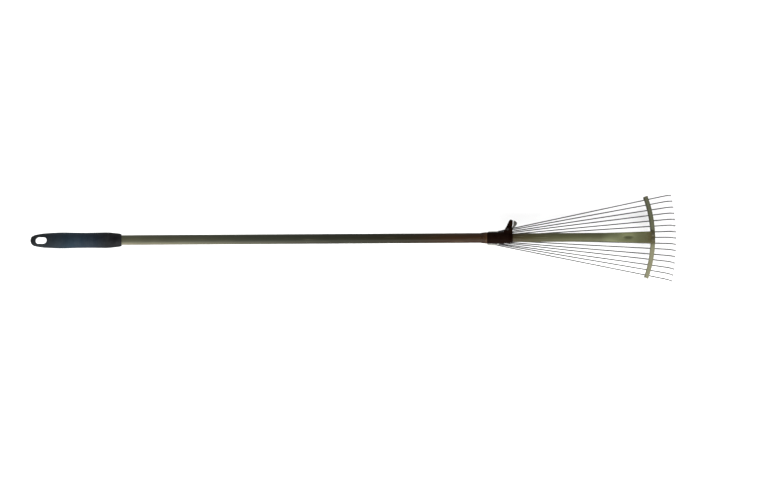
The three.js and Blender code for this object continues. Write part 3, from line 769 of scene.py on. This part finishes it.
def make_bar():
    half = math.asin(bar_high.y / (bar_radius + bar_width / 2))
    tall = bar_high.z - bar_low.z
    start = Vector((bar_centre_x + bar_radius, 0, (bar_high.z + bar_low.z) / 2))
    clear_bench()
    bpy.ops.mesh.primitive_plane_add(size=1, location=start, rotation=(math.pi / 2, 0, 0))
    bar = bpy.context.object
    bar.scale = (bar_width, tall, 1)
    settle("bar_of_guide")
    edit()
    bpy.ops.mesh.select_mode(type="FACE")
    pick_all()
    bpy.ops.mesh.delete(type="ONLY_FACE")
    pick(lambda e: all(v.co.z < bar_low.z + 1e-5 for v in e.verts), "EDGE")
    bpy.ops.mesh.delete(type="EDGE")
    pick(lambda v: v.co.z > bar_high.z - 1e-5)
    bpy.ops.mesh.bevel(offset=1.7 * MM, segments=5, affect="VERTICES")
    pick_all()
    bpy.ops.transform.rotate(
        value=half, orient_axis="Z", center_override=(bar_centre_x, 0, axis_z))
    bpy.ops.mesh.spin(steps=120, angle=-2 * half, center=(bar_centre_x, 0, axis_z), axis=(0, 0, 1))
    clean()
    leave()
    only(bar)
    wall = bar.modifiers.new("Wall", "SOLIDIFY")
    wall.thickness = bar_wall
    wall.offset = -1
    bpy.ops.object.modifier_apply(modifier=wall.name)
    seat_half, seat_depth = 14.7 * MM, 0.4 * MM
    edit()
    for side in (-1, 1):
        pick_all()
        bpy.ops.mesh.bisect(plane_co=(0, side * seat_half, 0), plane_no=(0, 1, 0))
        pick_all()
        bpy.ops.mesh.bisect(plane_co=(0, side * (seat_half - 0.6 * MM), 0), plane_no=(0, 1, 0))
    pick(lambda v: v.co.z > bar_high.z - 2.2 * MM and abs(v.co.y) < seat_half - 0.5 * MM)
    bpy.ops.transform.translate(value=(0, 0, -seat_depth))
    leave()
    for face, level, one, other in bar_slots():
        middle = (one + other) / 2
        mid_x = bar_centre_x + math.sqrt((bar_radius + face * 0.86) ** 2 - middle ** 2)
        tall_half = wire_radius + slot_room
        slot = block(
            "slot", (mid_x - 3.2 * MM, one, level - tall_half),
            (mid_x + 3.2 * MM, other, level + tall_half))
        only(slot)
        edit()
        pick(lambda e: abs(e.verts[0].co.x - e.verts[1].co.x) > MM, "EDGE")
        bpy.ops.mesh.bevel(offset=0.9 * MM, segments=4, affect="EDGES")
        leave()
        cut(bar, slot)
    cut(bar, *rivet_holes())
    soften(bar, 0.22 * MM, 2, 50)
    return stand_in(bar, "head", "head_paint", "guide_bar")


def make_bar_rivets():
    for name in ("bar_rivet_1", "bar_rivet_2"):
        low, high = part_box(name)
        middle = (low + high) / 2
        seat = head_low.z + flat_thickness
        tall = high.z - seat
        tail = low.z - seat
        profile = [
            (tail, 1.9 * MM), (tail + 0.2 * MM, 2.6 * MM), (tail + 0.6 * MM, 3.1 * MM),
            (tail + 0.9 * MM, 3.1 * MM), (tail + 0.9 * MM, 2.2 * MM), (0.3 * MM, 2.2 * MM),
            (0.3 * MM, 3.9 * MM), (0.55 * MM, 4.1 * MM), (0.95 * MM, 3.95 * MM),
            (tall - 0.55 * MM, 3.3 * MM), (tall - 0.2 * MM, 2.4 * MM), (tall - 0.05 * MM, 1.5 * MM),
            (tall, 0.6 * MM)]
        rivet = ring_by_ring(
            "rivet_of_" + name, profile, (middle.x, middle.y, seat), sides=36, along="Z")
        stand_in(smooth(rivet, 35), "head", "fastener_steel", name)


# ---- Tine carrier ----

def make_carrier():
    roots = {node: tine_line(node)[0] for node in TINES}
    corner = 5 * MM
    rivets = [f"carrier_rivet_{number}" for number in (1, 2, 3)]
    for name, held in (
        ("carrier_upper_plate", UPPER_TINES),
        ("carrier_lower_plate", [node for node in TINES if node not in UPPER_TINES])):
        low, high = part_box(name)
        clear_bench()
        bpy.ops.mesh.primitive_plane_add(size=1, location=((low.x + high.x) / 2, 0, low.z))
        bpy.context.object.scale = (high.x - low.x, high.y - low.y, 1)
        plate = settle("plate_" + name)
        edit()
        pick_all()
        bpy.ops.mesh.bevel(offset=corner, segments=6, affect="VERTICES")
        pick_all()
        pull(z=high.z - low.z)
        clean()
        leave()
        for node in held:
            cut(plate, rod(
                "hole", roots[node], wire_radius + 0.3 * MM, low.z - MM, high.z + MM, 20))
        for rivet in rivets:
            one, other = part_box(rivet)
            cut(plate, rod(
                "hole", (one + other) / 2, plate_rivet_hole_radius, low.z - MM, high.z + MM, 24))
        soften(plate, 0.22 * MM, 2)
        stand_in(plate, "handle", "plate_steel", name)
    for name in rivets:
        low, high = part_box(name)
        middle = (low + high) / 2
        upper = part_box("carrier_upper_plate")[0].z - 0.3 * MM - low.z
        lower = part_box("carrier_lower_plate")[1].z + 0.3 * MM - low.z
        shank, shoulder = 1.6 * MM, 2.8 * MM
        profile = [
            (0, 1.3 * MM), (0.15 * MM, 2.0 * MM), (0.6 * MM, 2.55 * MM), (1.2 * MM, shoulder),
            (1.4 * MM, shoulder), (1.4 * MM, shank), (lower, shank), (lower, shoulder - 0.15 * MM),
            (lower + 0.15 * MM, shoulder), (upper - 0.15 * MM, shoulder), (upper, shoulder - 0.15 * MM),
            (upper, shank), (high.z - low.z, shank)]
        rivet = ring_by_ring(
            "pillar_" + name, profile, (middle.x, middle.y, low.z), sides=32, along="Z")
        stand_in(smooth(rivet, 30), "handle", "fastener_steel", name)


# ---- Tines ----

hook_start = 300 * MM  # from the root, on a wire that is not yet drawn to its own length


def bent_wire(name, upper, drop):
    """One tine laid along X from its root at the origin: pin, bend, straight wire, hook."""
    way = 1 if upper else -1
    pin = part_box("carrier_upper_plate")[1].z - tine_level(TINES[1])
    shank = (drop - hook_radius * (1 - math.cos(hook_angle))) / math.sin(hook_angle)
    clear_bench()
    bpy.ops.mesh.primitive_circle_add(
        vertices=16, radius=wire_radius - 0.2 * MM, location=(0, 0, way * pin))
    wire = settle(name)
    edit()
    pick_all()
    bpy.ops.mesh.edge_face_add()
    pull(z=-way * 0.2 * MM)
    grow = wire_radius / (wire_radius - 0.2 * MM)
    bpy.ops.transform.resize(value=(grow, grow, 1), center_override=(0, 0, 0))
    pull(z=-way * (pin - 0.2 * MM - root_bend))
    bpy.ops.mesh.spin(
        steps=8, angle=way * math.pi / 2, center=(root_bend, 0, way * root_bend), axis=(0, 1, 0))
    for _ in range(4):
        pull(x=(hook_start - root_bend) / 4)
    bpy.ops.mesh.spin(steps=16, angle=-hook_angle, center=(hook_start, 0, -hook_radius), axis=(0, 1, 0))
    heading = Vector((math.cos(hook_angle), 0, -math.sin(hook_angle)))
    pull(*(heading * (shank - 0.35 * MM)))
    end = Vector((hook_start, 0, -hook_radius)) + hook_radius * Vector((
        math.sin(hook_angle), 0, math.cos(hook_angle))) + heading * shank
    for step, size in ((0.2, 0.93), (0.15, 0.78)):
        pull(*(heading * step * MM))
        bpy.ops.transform.resize(value=(size,) * 3, center_override=end)
    clean()
    leave()
    return smooth(wire, 50), end.x


def make_tines():
    lower_drop = tine_level(TINES[0]) - cad_low.z - wire_radius * math.cos(hook_angle)
    layer = tine_level(TINES[1]) - tine_level(TINES[0])
    models = {
        True: bent_wire("upper_wire", True, lower_drop + layer),
        False: bent_wire("lower_wire", False, lower_drop)}
    for node in TINES:
        upper = node in UPPER_TINES
        model, model_end = models[upper]
        root, heading, reach = tine_line(node)
        only(model)
        bpy.ops.object.duplicate(linked=False)
        wire = bpy.context.object
        wire.name = wire.data.name = "wire_" + node
        edit()
        pick(lambda v: v.co.x > hook_start - MM)
        bpy.ops.transform.translate(
            value=(reach - wire_radius * math.sin(hook_angle) - model_end, 0, 0))
        leave()
        wire.rotation_euler.z = heading
        wire.location = root
        only(wire)
        settle()
        body = "handle" if node == "tine_8" else node + "_body"
        stand_in(wire, body, "tine_steel", node)
    for model, _ in models.values():
        bpy.data.objects.remove(model)


# ---- Shared finish effects ----

def place(tree, kind, sockets=None, **settings):
    """Adds a shader node, sets it up, and wires or fills its inputs."""
    node = tree.nodes.new("ShaderNode" + kind)
    for name, value in settings.items():
        setattr(node, name, value)
    for key, value in (sockets or {}).items():
        if isinstance(value, bpy.types.NodeSocket):
            tree.links.new(value, node.inputs[key])
        else:
            node.inputs[key].default_value = value
    return node


def effect(name, inputs, outputs):
    """An empty effect group with named inputs and outputs."""
    tree = bpy.data.node_groups.new(name, "ShaderNodeTree")
    kinds = {"v": "NodeSocketVector", "f": "NodeSocketFloat", "c": "NodeSocketColor"}
    for label, kind, value in inputs:
        socket = tree.interface.new_socket(label, in_out="INPUT", socket_type=kinds[kind])
        if value is not None:
            socket.default_value = value
    for label, kind in outputs:
        tree.interface.new_socket(label, in_out="OUTPUT", socket_type=kinds[kind])
    return tree, tree.nodes.new("NodeGroupInput"), tree.nodes.new("NodeGroupOutput")


def share(tree, value, low, high, to_low=0.0, to_high=1.0):
    """Spreads a value between two limits."""
    node = place(tree, "MapRange", {0: value, 1: low, 2: high, 3: to_low, 4: to_high})
    return node.outputs[0]


def maths(tree, how, a, b=0.5):
    """A node that adds, subtracts and so on, and ignores b where one value is enough."""
    return place(tree, "Math", {0: a, 1: b}, operation=how).outputs[0]


def times(tree, a, b):
    return maths(tree, "MULTIPLY", a, b)


def blend(tree, factor, a, b):
    return place(tree, "Mix", {0: factor, 6: a, 7: b}, data_type="RGBA").outputs[2]


def noise(tree, position, scale, detail=3.0, rough=0.55):
    return place(tree, "TexNoise", {
        "Vector": position, "Scale": scale, "Detail": detail, "Roughness": rough}).outputs["Fac"]


def stretched(tree, position, scale):
    return place(tree, "Mapping", {"Vector": position, "Scale": scale}).outputs[0]


def make_grain():
    """Fine moulded or sprayed grain."""
    tree, given, result = effect(
        "surface_grain", [("Position", "v", None), ("Scale", "f", 900.0), ("Depth", "f", 0.0001)],
        [("Normal", "v")])
    fine = noise(tree, given.outputs[0], given.outputs[1], 3.0, 0.6)
    bump = place(tree, "Bump", {"Strength": 0.7, "Distance": given.outputs[2], "Height": fine})
    tree.links.new(bump.outputs[0], result.inputs[0])
    return tree


def make_edge_wear():
    """Where handling rubs the outer edges and corners bare."""
    tree, given, result = effect(
        "edge_wear", [("Position", "v", None), ("Spread", "f", 0.06), ("Scale", "f", 260.0)],
        [("Mask", "f")])
    sharp_from = 0.515
    point = place(tree, "NewGeometry").outputs["Pointiness"]
    edge = share(tree, point, sharp_from, maths(tree, "ADD", sharp_from, given.outputs[1]))
    broken = share(tree, noise(tree, given.outputs[0], given.outputs[2], 4.0, 0.7), 0.42, 0.62)
    tree.links.new(times(tree, edge, broken), result.inputs[0])
    return tree


def make_blotches():
    """Large soft patches, such as uneven paint, hand grime and weathering."""
    tree, given, result = effect(
        "soft_blotches", [("Position", "v", None), ("Scale", "f", 20.0), ("Sharpness", "f", 0.2)],
        [("Mask", "f")])
    cloud = noise(tree, given.outputs[0], given.outputs[1], 5.0, 0.6)
    low = maths(tree, "SUBTRACT", 0.5, given.outputs[2])
    high = maths(tree, "ADD", 0.5, given.outputs[2])
    tree.links.new(share(tree, cloud, low, high), result.inputs[0])
    return tree


def make_scratches():
    """Fine rubbed lines along the tube, in patches."""
    tree, given, result = effect(
        "rubbed_lines", [("Position", "v", None), ("Amount", "f", 0.5)], [("Mask", "f")])
    lines = noise(tree, stretched(tree, given.outputs[0], (14, 1500, 1500)), 1.0, 2.0)
    patches = noise(tree, stretched(tree, given.outputs[0], (16, 60, 60)), 1.0, 2.0)
    thin = share(tree, lines, 0.6, 0.72)
    where = share(tree, patches, 0.5, 0.66)
    mask = times(tree, times(tree, thin, where), given.outputs[1])
    tree.links.new(mask, result.inputs[0])
    return tree


def make_specks():
    """Small chips and rust specks."""
    tree, given, result = effect(
        "chips_and_specks", [("Position", "v", None), ("Scale", "f", 350.0), ("Amount", "f", 0.5)],
        [("Mask", "f")])
    spot = noise(tree, given.outputs[0], given.outputs[1], 6.0, 0.75)
    cloud = noise(tree, given.outputs[0], 28.0, 2.0)
    level = share(tree, given.outputs[2], 0.0, 1.0, 0.78, 0.5)
    both = maths(tree, "ADD", spot, share(tree, cloud, 0.3, 0.7, -0.06, 0.06))
    tree.links.new(share(tree, both, level, maths(tree, "ADD", level, 0.03)), result.inputs[0])
    return tree


def make_dust():
    """Dust that has settled on what faces up."""
    tree, given, result = effect(
        "settled_dust", [("Position", "v", None), ("Amount", "f", 0.3)], [("Mask", "f")])
    normal = place(tree, "NewGeometry").outputs["Normal"]
    up = place(tree, "SeparateXYZ", {0: normal}).outputs[2]
    facing = share(tree, up, 0.2, 1.0)
    cloud = share(tree, noise(tree, given.outputs[0], 45.0, 6.0, 0.65), 0.4, 0.7)
    tree.links.new(times(tree, times(tree, facing, cloud), given.outputs[1]), result.inputs[0])
    return tree


GRAIN, WEAR, BLOTCHES = make_grain(), make_edge_wear(), make_blotches()
SCRATCHES, SPECKS, DUST = make_scratches(), make_specks(), make_dust()


def use(tree, group, **sockets):
    """Places a shared effect with its own values, and gives its first output."""
    return place(tree, "Group", sockets, node_tree=group).outputs[0]


# ---- Finishes ----

def finish_of(name):
    """A new material: its tree, the position it reads and its shader."""
    material = bpy.data.materials.new(name)
    material.use_nodes = True
    tree = material.node_tree
    tree.nodes.clear()
    shader = place(tree, "BsdfPrincipled")
    output = place(tree, "OutputMaterial")
    tree.links.new(shader.outputs[0], output.inputs[0])
    position = place(tree, "TexCoord").outputs["Object"]
    return material, tree, position, shader


def wire_up(tree, shader, colour, roughness, normal, metallic=0.0, gloss=0.35):
    shader.inputs["Specular IOR Level"].default_value = gloss
    tree.links.new(colour, shader.inputs["Base Color"])
    tree.links.new(roughness, shader.inputs["Roughness"])
    tree.links.new(normal, shader.inputs["Normal"])
    if isinstance(metallic, bpy.types.NodeSocket):
        tree.links.new(metallic, shader.inputs["Metallic"])
    else:
        shader.inputs["Metallic"].default_value = metallic


def srgb(red, green, blue):
    """A colour given as on a paint chart, 0 to 255."""
    return tuple(
        (v / 255 / 12.92) if v < 10.3 else ((v / 255 + 0.055) / 1.055) ** 2.4
        for v in (red, green, blue)) + (1.0,)


def opened(material):
    """A made finish, ready for one more layer: its tree, position, shader and colour so far."""
    tree = material.node_tree
    shader = next(node for node in tree.nodes if node.type == "BSDF_PRINCIPLED")
    position = next(node for node in tree.nodes if node.type == "TEX_COORD").outputs["Object"]
    return tree, position, shader, shader.inputs["Base Color"].links[0].from_socket


def along_x(tree, position, stops):
    """A colour that changes along the piece: each stop is (x, colour)."""
    low, high = stops[0][0], stops[-1][0]
    x = place(tree, "SeparateXYZ", {0: position}).outputs[0]
    ramp = place(tree, "ValToRGB", {0: share(tree, x, low, high)})
    points = ramp.color_ramp.elements
    points[0].position, points[0].color = 0.0, stops[0][1]
    points[1].position, points[1].color = 1.0, stops[-1][1]
    for place_x, colour in stops[1:-1]:
        points.new((place_x - low) / (high - low)).color = colour
    return ramp.outputs[0]


def grip_finish():
    material, tree, position, shader = finish_of("moulded_grip_plastic")
    length = grip_high.x - grip_low.x
    colour = along_x(tree, position, [
        (grip_low.x, srgb(20, 22, 22)), (grip_low.x + 0.2 * length, srgb(20, 25, 30)),
        (grip_low.x + 0.45 * length, srgb(22, 36, 46)), (grip_low.x + 0.66 * length, srgb(22, 31, 41)),
        (grip_low.x + 0.84 * length, srgb(8, 9, 12)), (grip_high.x, srgb(5, 3, 4))])
    grime = use(tree, BLOTCHES, Position=position, Scale=34.0, Sharpness=0.16)
    colour = blend(tree, times(tree, grime, 0.35), colour, srgb(20, 23, 25))
    dust = use(tree, DUST, Position=position, Amount=0.05)
    colour = blend(tree, dust, colour, srgb(110, 112, 110))
    worn = use(tree, WEAR, Position=position, Spread=0.05, Scale=300.0)
    colour = blend(tree, times(tree, worn, 0.3), colour, srgb(70, 80, 88))
    rough = share(tree, grime, 0.0, 1.0, 0.48, 0.64)
    normal = use(tree, GRAIN, Position=position, Scale=1500.0, Depth=0.00012)
    wire_up(tree, shader, colour, rough, normal, gloss=0.05)
    return material


def tube_finish(name, stops, chip, rust_amount, scratch_colour, painted_highlight_side=False):
    """Satin enamel on a steel tube, worn along its length, and with a painted highlight along its -Y side
    if asked.
    """
    material, tree, position, shader = finish_of(name)
    colour = along_x(tree, position, stops)
    drawn_out = stretched(tree, position, (0.45, 1.0, 1.0))
    cloud = use(tree, BLOTCHES, Position=drawn_out, Scale=30.0, Sharpness=0.18)
    darker = blend(tree, 0.5, colour, srgb(26, 22, 16))
    colour = blend(tree, times(tree, cloud, 0.45), colour, darker)
    if painted_highlight_side:
        # Painted highlight: a pale cream band along the tube's -Y side, strongest near the grip. It stands
        # in for light falling from that side.
        axes = place(tree, "SeparateXYZ", {0: position})
        highlight_side_mask = share(tree, axes.outputs[1], -4.5 * MM, -9 * MM)
        near_grip = share(tree, axes.outputs[0], tube_low.x + 0.6, tube_low.x + 0.02, 0.0, 0.27)
        patchy = share(tree, noise(tree, position, 14.0, 3.0), 0.3, 0.7, 0.7, 1.0)
        painted_highlight = times(tree, times(tree, highlight_side_mask, near_grip), patchy)
        colour = blend(tree, painted_highlight, colour, srgb(176, 170, 146))
    lines = use(tree, SCRATCHES, Position=position, Amount=0.5)
    colour = blend(tree, lines, colour, scratch_colour)
    specks = use(tree, SPECKS, Position=position, Scale=420.0, Amount=rust_amount)
    colour = blend(tree, times(tree, specks, 0.8), colour, chip)
    worn = use(tree, WEAR, Position=position, Spread=0.07, Scale=240.0)
    colour = blend(tree, times(tree, worn, 0.7), colour, chip)
    roughness = share(tree, cloud, 0.0, 1.0, 0.3, 0.48)
    normal = use(tree, GRAIN, Position=position, Scale=620.0, Depth=0.00006)
    wire_up(tree, shader, colour, roughness, normal, gloss=0.07)
    return material


def head_finish(name, stops, bar=False):
    """Olive enamel, browned with rust round the riveted joint; the bar gets a painted lit half and a
    painted shaded half, and the head tube painted shade in its dimple.
    """
    material = tube_finish(name, stops, srgb(92, 62, 42), 0.22, srgb(150, 150, 128))
    tree, position, shader, painted = opened(material)
    joint = Vector((bar_centre_x + bar_radius, 0, bar_high.z))
    away = place(tree, "VectorMath", {
        0: stretched(tree, position, (1, 1, 0.4)), 1: (joint.x, joint.y, joint.z * 0.4)},
        operation="DISTANCE").outputs["Value"]
    ragged = share(tree, noise(tree, position, 160.0, 5.0), 0.3, 0.7, -6 * MM, 6 * MM)
    reach = maths(tree, "ADD", away, ragged)
    rusty = share(tree, reach, 8 * MM, 17 * MM, 1.0, 0.0)
    tone = blend(tree, noise(tree, position, 420.0, 5.0), srgb(72, 60, 38), srgb(44, 44, 26))
    colour = blend(tree, times(tree, rusty, 0.7), painted, tone)
    if bar:
        flat = stretched(tree, position, (1, 1, 0))
        spoke = place(
            tree, "VectorMath", {0: flat, 1: (bar_centre_x, 0, 0)}, operation="DISTANCE").outputs["Value"]
        # The bar is painted darker towards its inner edge, in noisy patches.
        back = share(tree, spoke, bar_radius - 4.2 * MM, bar_radius - 1.5 * MM, 1.0, 0.0)
        darkening = times(tree, back, share(tree, noise(tree, position, 90.0, 4.0), 0.25, 0.6, 0.3, 0.9))
        colour = blend(tree, darkening, colour, srgb(44, 44, 33))
        # Painted light and shade: the -Y half of the bar is painted paler and the +Y half darker, as lit
        # from the -Y side.
        across = place(tree, "SeparateXYZ", {0: position}).outputs[1]
        lit_half = share(tree, across, -4 * MM, -30 * MM, 0.0, 0.6)
        colour = blend(tree, lit_half, colour, srgb(124, 122, 98))
        darker = share(tree, across, 10 * MM, 40 * MM, 0.0, 0.4)
        colour = blend(tree, darker, colour, srgb(52, 53, 38))
        tip = share(tree, maths(tree, "ABSOLUTE", across), 80 * MM, 88 * MM, 0.0, 0.75)
        colour = blend(tree, times(tree, tip, back), colour, srgb(30, 30, 26))
    else:
        # Painted shade: the head tube's dimple is painted darker round its hollow.
        hollow = place(tree, "VectorMath", {
            0: stretched(tree, position, (0.34, 1, 0)), 1: (0.34 * (head_high.x - 58.5 * MM), 0, 0)},
            operation="DISTANCE")
        darkening = share(tree, hollow.outputs["Value"], 1.8 * MM, 4.6 * MM, 0.75, 0.0)
        colour = blend(tree, darkening, colour, srgb(46, 48, 30))
    tree.links.new(colour, shader.inputs["Base Color"])
    return material


def black_moulding_finish():
    material, tree, position, shader = finish_of("black_clamp_moulding")
    grime = use(tree, BLOTCHES, Position=position, Scale=120.0, Sharpness=0.15)
    colour = blend(tree, grime, srgb(8, 1, 0), srgb(13, 4, 1))
    dust = use(tree, DUST, Position=position, Amount=0.01)
    colour = blend(tree, dust, colour, srgb(96, 90, 84))
    worn = use(tree, WEAR, Position=position, Spread=0.06, Scale=500.0)
    colour = blend(tree, times(tree, worn, 0.2), colour, srgb(34, 26, 22))
    normal = use(tree, GRAIN, Position=position, Scale=2200.0, Depth=0.00007)
    wire_up(tree, shader, colour, share(tree, grime, 0.0, 1.0, 0.34, 0.5), normal, gloss=0.006)
    return material


def steel_finish(name, bright, dull, rust, rust_amount, metallic, scale=300.0):
    """Bare or plated steel, dulled in patches and specked with rust."""
    material, tree, position, shader = finish_of(name)
    cloud = use(tree, BLOTCHES, Position=position, Scale=scale * 0.3, Sharpness=0.2)
    colour = blend(tree, cloud, bright, dull)
    specks = use(tree, SPECKS, Position=position, Scale=scale * 2, Amount=rust_amount)
    colour = blend(tree, specks, colour, rust)
    normal = use(tree, GRAIN, Position=position, Scale=scale * 5, Depth=0.00004)
    bare = maths(tree, "SUBTRACT", metallic, times(tree, specks, metallic))
    wire_up(tree, shader, colour, share(tree, cloud, 0.0, 1.0, 0.3, 0.5), normal, bare)
    return material


def nylon_finish():
    material, tree, position, shader = finish_of("natural_nylon")
    cloud = use(tree, BLOTCHES, Position=position, Scale=150.0, Sharpness=0.2)
    colour = blend(tree, cloud, srgb(205, 200, 186), srgb(178, 172, 156))
    normal = use(tree, GRAIN, Position=position, Scale=1800.0, Depth=0.00005)
    wire_up(tree, shader, colour, share(tree, cloud, 0.0, 1.0, 0.4, 0.55), normal)
    return material


def floor_finish():
    material, tree, position, shader = finish_of("pale_floor")
    colour = blend(tree, noise(tree, position, 3.0), (0.9, 0.9, 0.9, 1), (0.93, 0.93, 0.93, 1))
    normal = use(tree, GRAIN, Position=position, Scale=300.0, Depth=0.00002)
    wire_up(tree, shader, colour, share(tree, noise(tree, position, 8.0), 0.0, 1.0, 0.85, 0.95), normal)
    return material


def darken_tips(material):
    """Paints the hooks darker towards their ends: painted shade where they turn down to the floor."""
    tree, position, shader, clean_steel = opened(material)
    x = place(tree, "SeparateXYZ", {0: position}).outputs[0]
    # Painted shade: the hooks darken towards the floor.
    hook = share(tree, x, bar_high.x + 12 * MM, bar_high.x + 34 * MM, 0.0, 0.8)
    tree.links.new(blend(tree, hook, clean_steel, srgb(12, 10, 10)), shader.inputs["Base Color"])


def paint_all():
    """Gives every piece its finish."""
    tube_x, far_x = tube_low.x, tube_high.x
    reach = far_x - tube_x
    # The handle's enamel carries a painted highlight along its -Y side.
    handle = tube_finish("handle_enamel", [
        (tube_x, srgb(68, 67, 52)), (tube_x + 0.2 * reach, srgb(62, 62, 48)),
        (tube_x + 0.45 * reach, srgb(40, 42, 33)), (tube_x + 0.66 * reach, srgb(30, 31, 22)),
        (tube_x + 0.8 * reach, srgb(27, 23, 11)), (tube_x + 0.9 * reach, srgb(38, 21, 5)),
        (far_x, srgb(32, 15, 2))],
        srgb(60, 38, 18), 0.26, srgb(104, 98, 76), painted_highlight_side=True)
    ferrule = tube_finish("ferrule_enamel", [
        (ferrule_low.x, srgb(26, 10, 0)), (ferrule_high.x, srgb(44, 25, 8))],
        srgb(80, 60, 38), 0.3, srgb(96, 84, 62))
    head = head_finish("head_tube_enamel", [
        (collar_high.x, srgb(40, 31, 15)), (collar_high.x + 0.03, srgb(50, 46, 27)),
        (head_high.x - 0.22, srgb(64, 64, 43)), (head_high.x - 0.12, srgb(68, 69, 48)),
        (head_high.x - 0.095, srgb(90, 93, 68)), (head_high.x - 0.05, srgb(90, 92, 66)),
        (head_high.x - 0.035, srgb(78, 79, 55)), (head_high.x, srgb(70, 68, 46))])
    bar = head_finish("guide_bar_enamel", [
        (bar_low.x, srgb(82, 83, 67)), (bar_high.x, srgb(84, 85, 67))], bar=True)
    clamp = black_moulding_finish()
    lever = steel_finish(
        "lever_plate_zinc", srgb(74, 73, 68), srgb(52, 51, 47), srgb(60, 48, 38), 0.2, 0.4)
    wires = steel_finish(
        "spring_wire", srgb(56, 56, 58), srgb(32, 31, 32), srgb(52, 36, 27), 0.4, 0.5, scale=260.0)
    darken_tips(wires)
    plates = steel_finish(
        "carrier_plate_zinc", srgb(178, 178, 172), srgb(146, 146, 140), srgb(110, 84, 62), 0.3, 0.5)
    fixings = steel_finish(
        "plated_fixings", srgb(128, 122, 112), srgb(88, 80, 70), srgb(92, 60, 40), 0.4, 0.7)
    rusty = steel_finish(
        "rusted_rivets", srgb(66, 62, 40), srgb(44, 42, 28), srgb(84, 54, 34), 0.45, 0.2)
    blackened = steel_finish(
        "blackened_pin", srgb(22, 18, 15), srgb(14, 11, 9), srgb(40, 26, 18), 0.3, 0.2)
    nylon = nylon_finish()
    finishes = {
        "grip_handle": grip_finish(), "tube_of_handle": handle, "ferrule_ring": ferrule,
        "collar_of_clamp": clamp, "lever_of_clamp": clamp, "plate_of_lever": lever,
        "pin_of_lever": blackened,
        "tube_of_head": head, "bar_of_guide": bar, "tube_bush": nylon, "head_tube_plug": nylon,
        "brake_shoe": clamp, "plate_carrier_upper_plate": plates, "plate_carrier_lower_plate": plates,
    }
    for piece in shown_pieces():
        if piece.name.startswith("wire_"):
            chosen = wires
        elif piece.name.startswith("rivet_of"):
            chosen = rusty
        else:
            chosen = finishes.get(piece.name, fixings)
        piece.data.materials.clear()
        piece.data.materials.append(chosen)


# ---- Floor, light and camera ----

def make_floor():
    clear_bench()
    bpy.ops.mesh.primitive_plane_add(size=14, location=(0, 0, cad_low.z - 0.1 * MM))
    floor = settle("floor")
    floor.data.materials.append(floor_finish())


def softbox(name, place_at, aim, size, power):
    light = bpy.data.lights.new(name, "AREA")
    light.shape = "RECTANGLE"
    light.size, light.size_y = size
    light.energy = power
    lamp = bpy.data.objects.new(name, light)
    bpy.context.scene.collection.objects.link(lamp)
    lamp.location = place_at
    lamp.rotation_euler = (Vector(aim) - Vector(place_at)).to_track_quat("-Z", "Y").to_euler()


def make_light():
    world = bpy.data.worlds.new("studio")
    bpy.context.scene.world = world
    world.use_nodes = True
    sky = world.node_tree.nodes["Background"]
    sky.inputs["Color"].default_value = (1.0, 1.0, 1.0, 1)
    sky.inputs["Strength"].default_value = 1.0
    size, middle = (5.0, 2.2), (0, 0, 0)
    softbox("long_softbox", (0.1, -2.5, 1.4), middle, size, 230)
    softbox("far_fill", (0.0, 2.8, 2.2), middle, size, 30)
    bpy.context.scene.view_settings.view_transform = "Standard"


def make_camera():
    """Looks almost straight down from far off, through a long lens."""
    aim = Vector((0.0664, -0.0011, axis_z))
    away, lean, seen_width, roll = 12.0, math.radians(3.8), 1.690, math.radians(0.35)
    camera = bpy.data.cameras.new("camera")
    sensor = 36
    camera.sensor_width = sensor
    camera.lens = sensor * away / seen_width
    holder = bpy.data.objects.new("camera", camera)
    bpy.context.scene.collection.objects.link(holder)
    holder.location = aim + Vector((0, -math.sin(lean), math.cos(lean))) * away
    upright = (aim - holder.location).to_track_quat("-Z", "Y").to_matrix()
    holder.rotation_euler = (upright @ Matrix.Rotation(-roll, 3, "Z")).to_euler()
    bpy.context.scene.camera = holder


make_grip()
make_handle_tube()
make_ferrule()
make_collar()
make_screws()
make_lever()
make_pin()
make_head_tube()
make_bar()
make_bar_rivets()
make_carrier()
make_tines()
paint_all()
make_floor()
make_light()
make_camera()
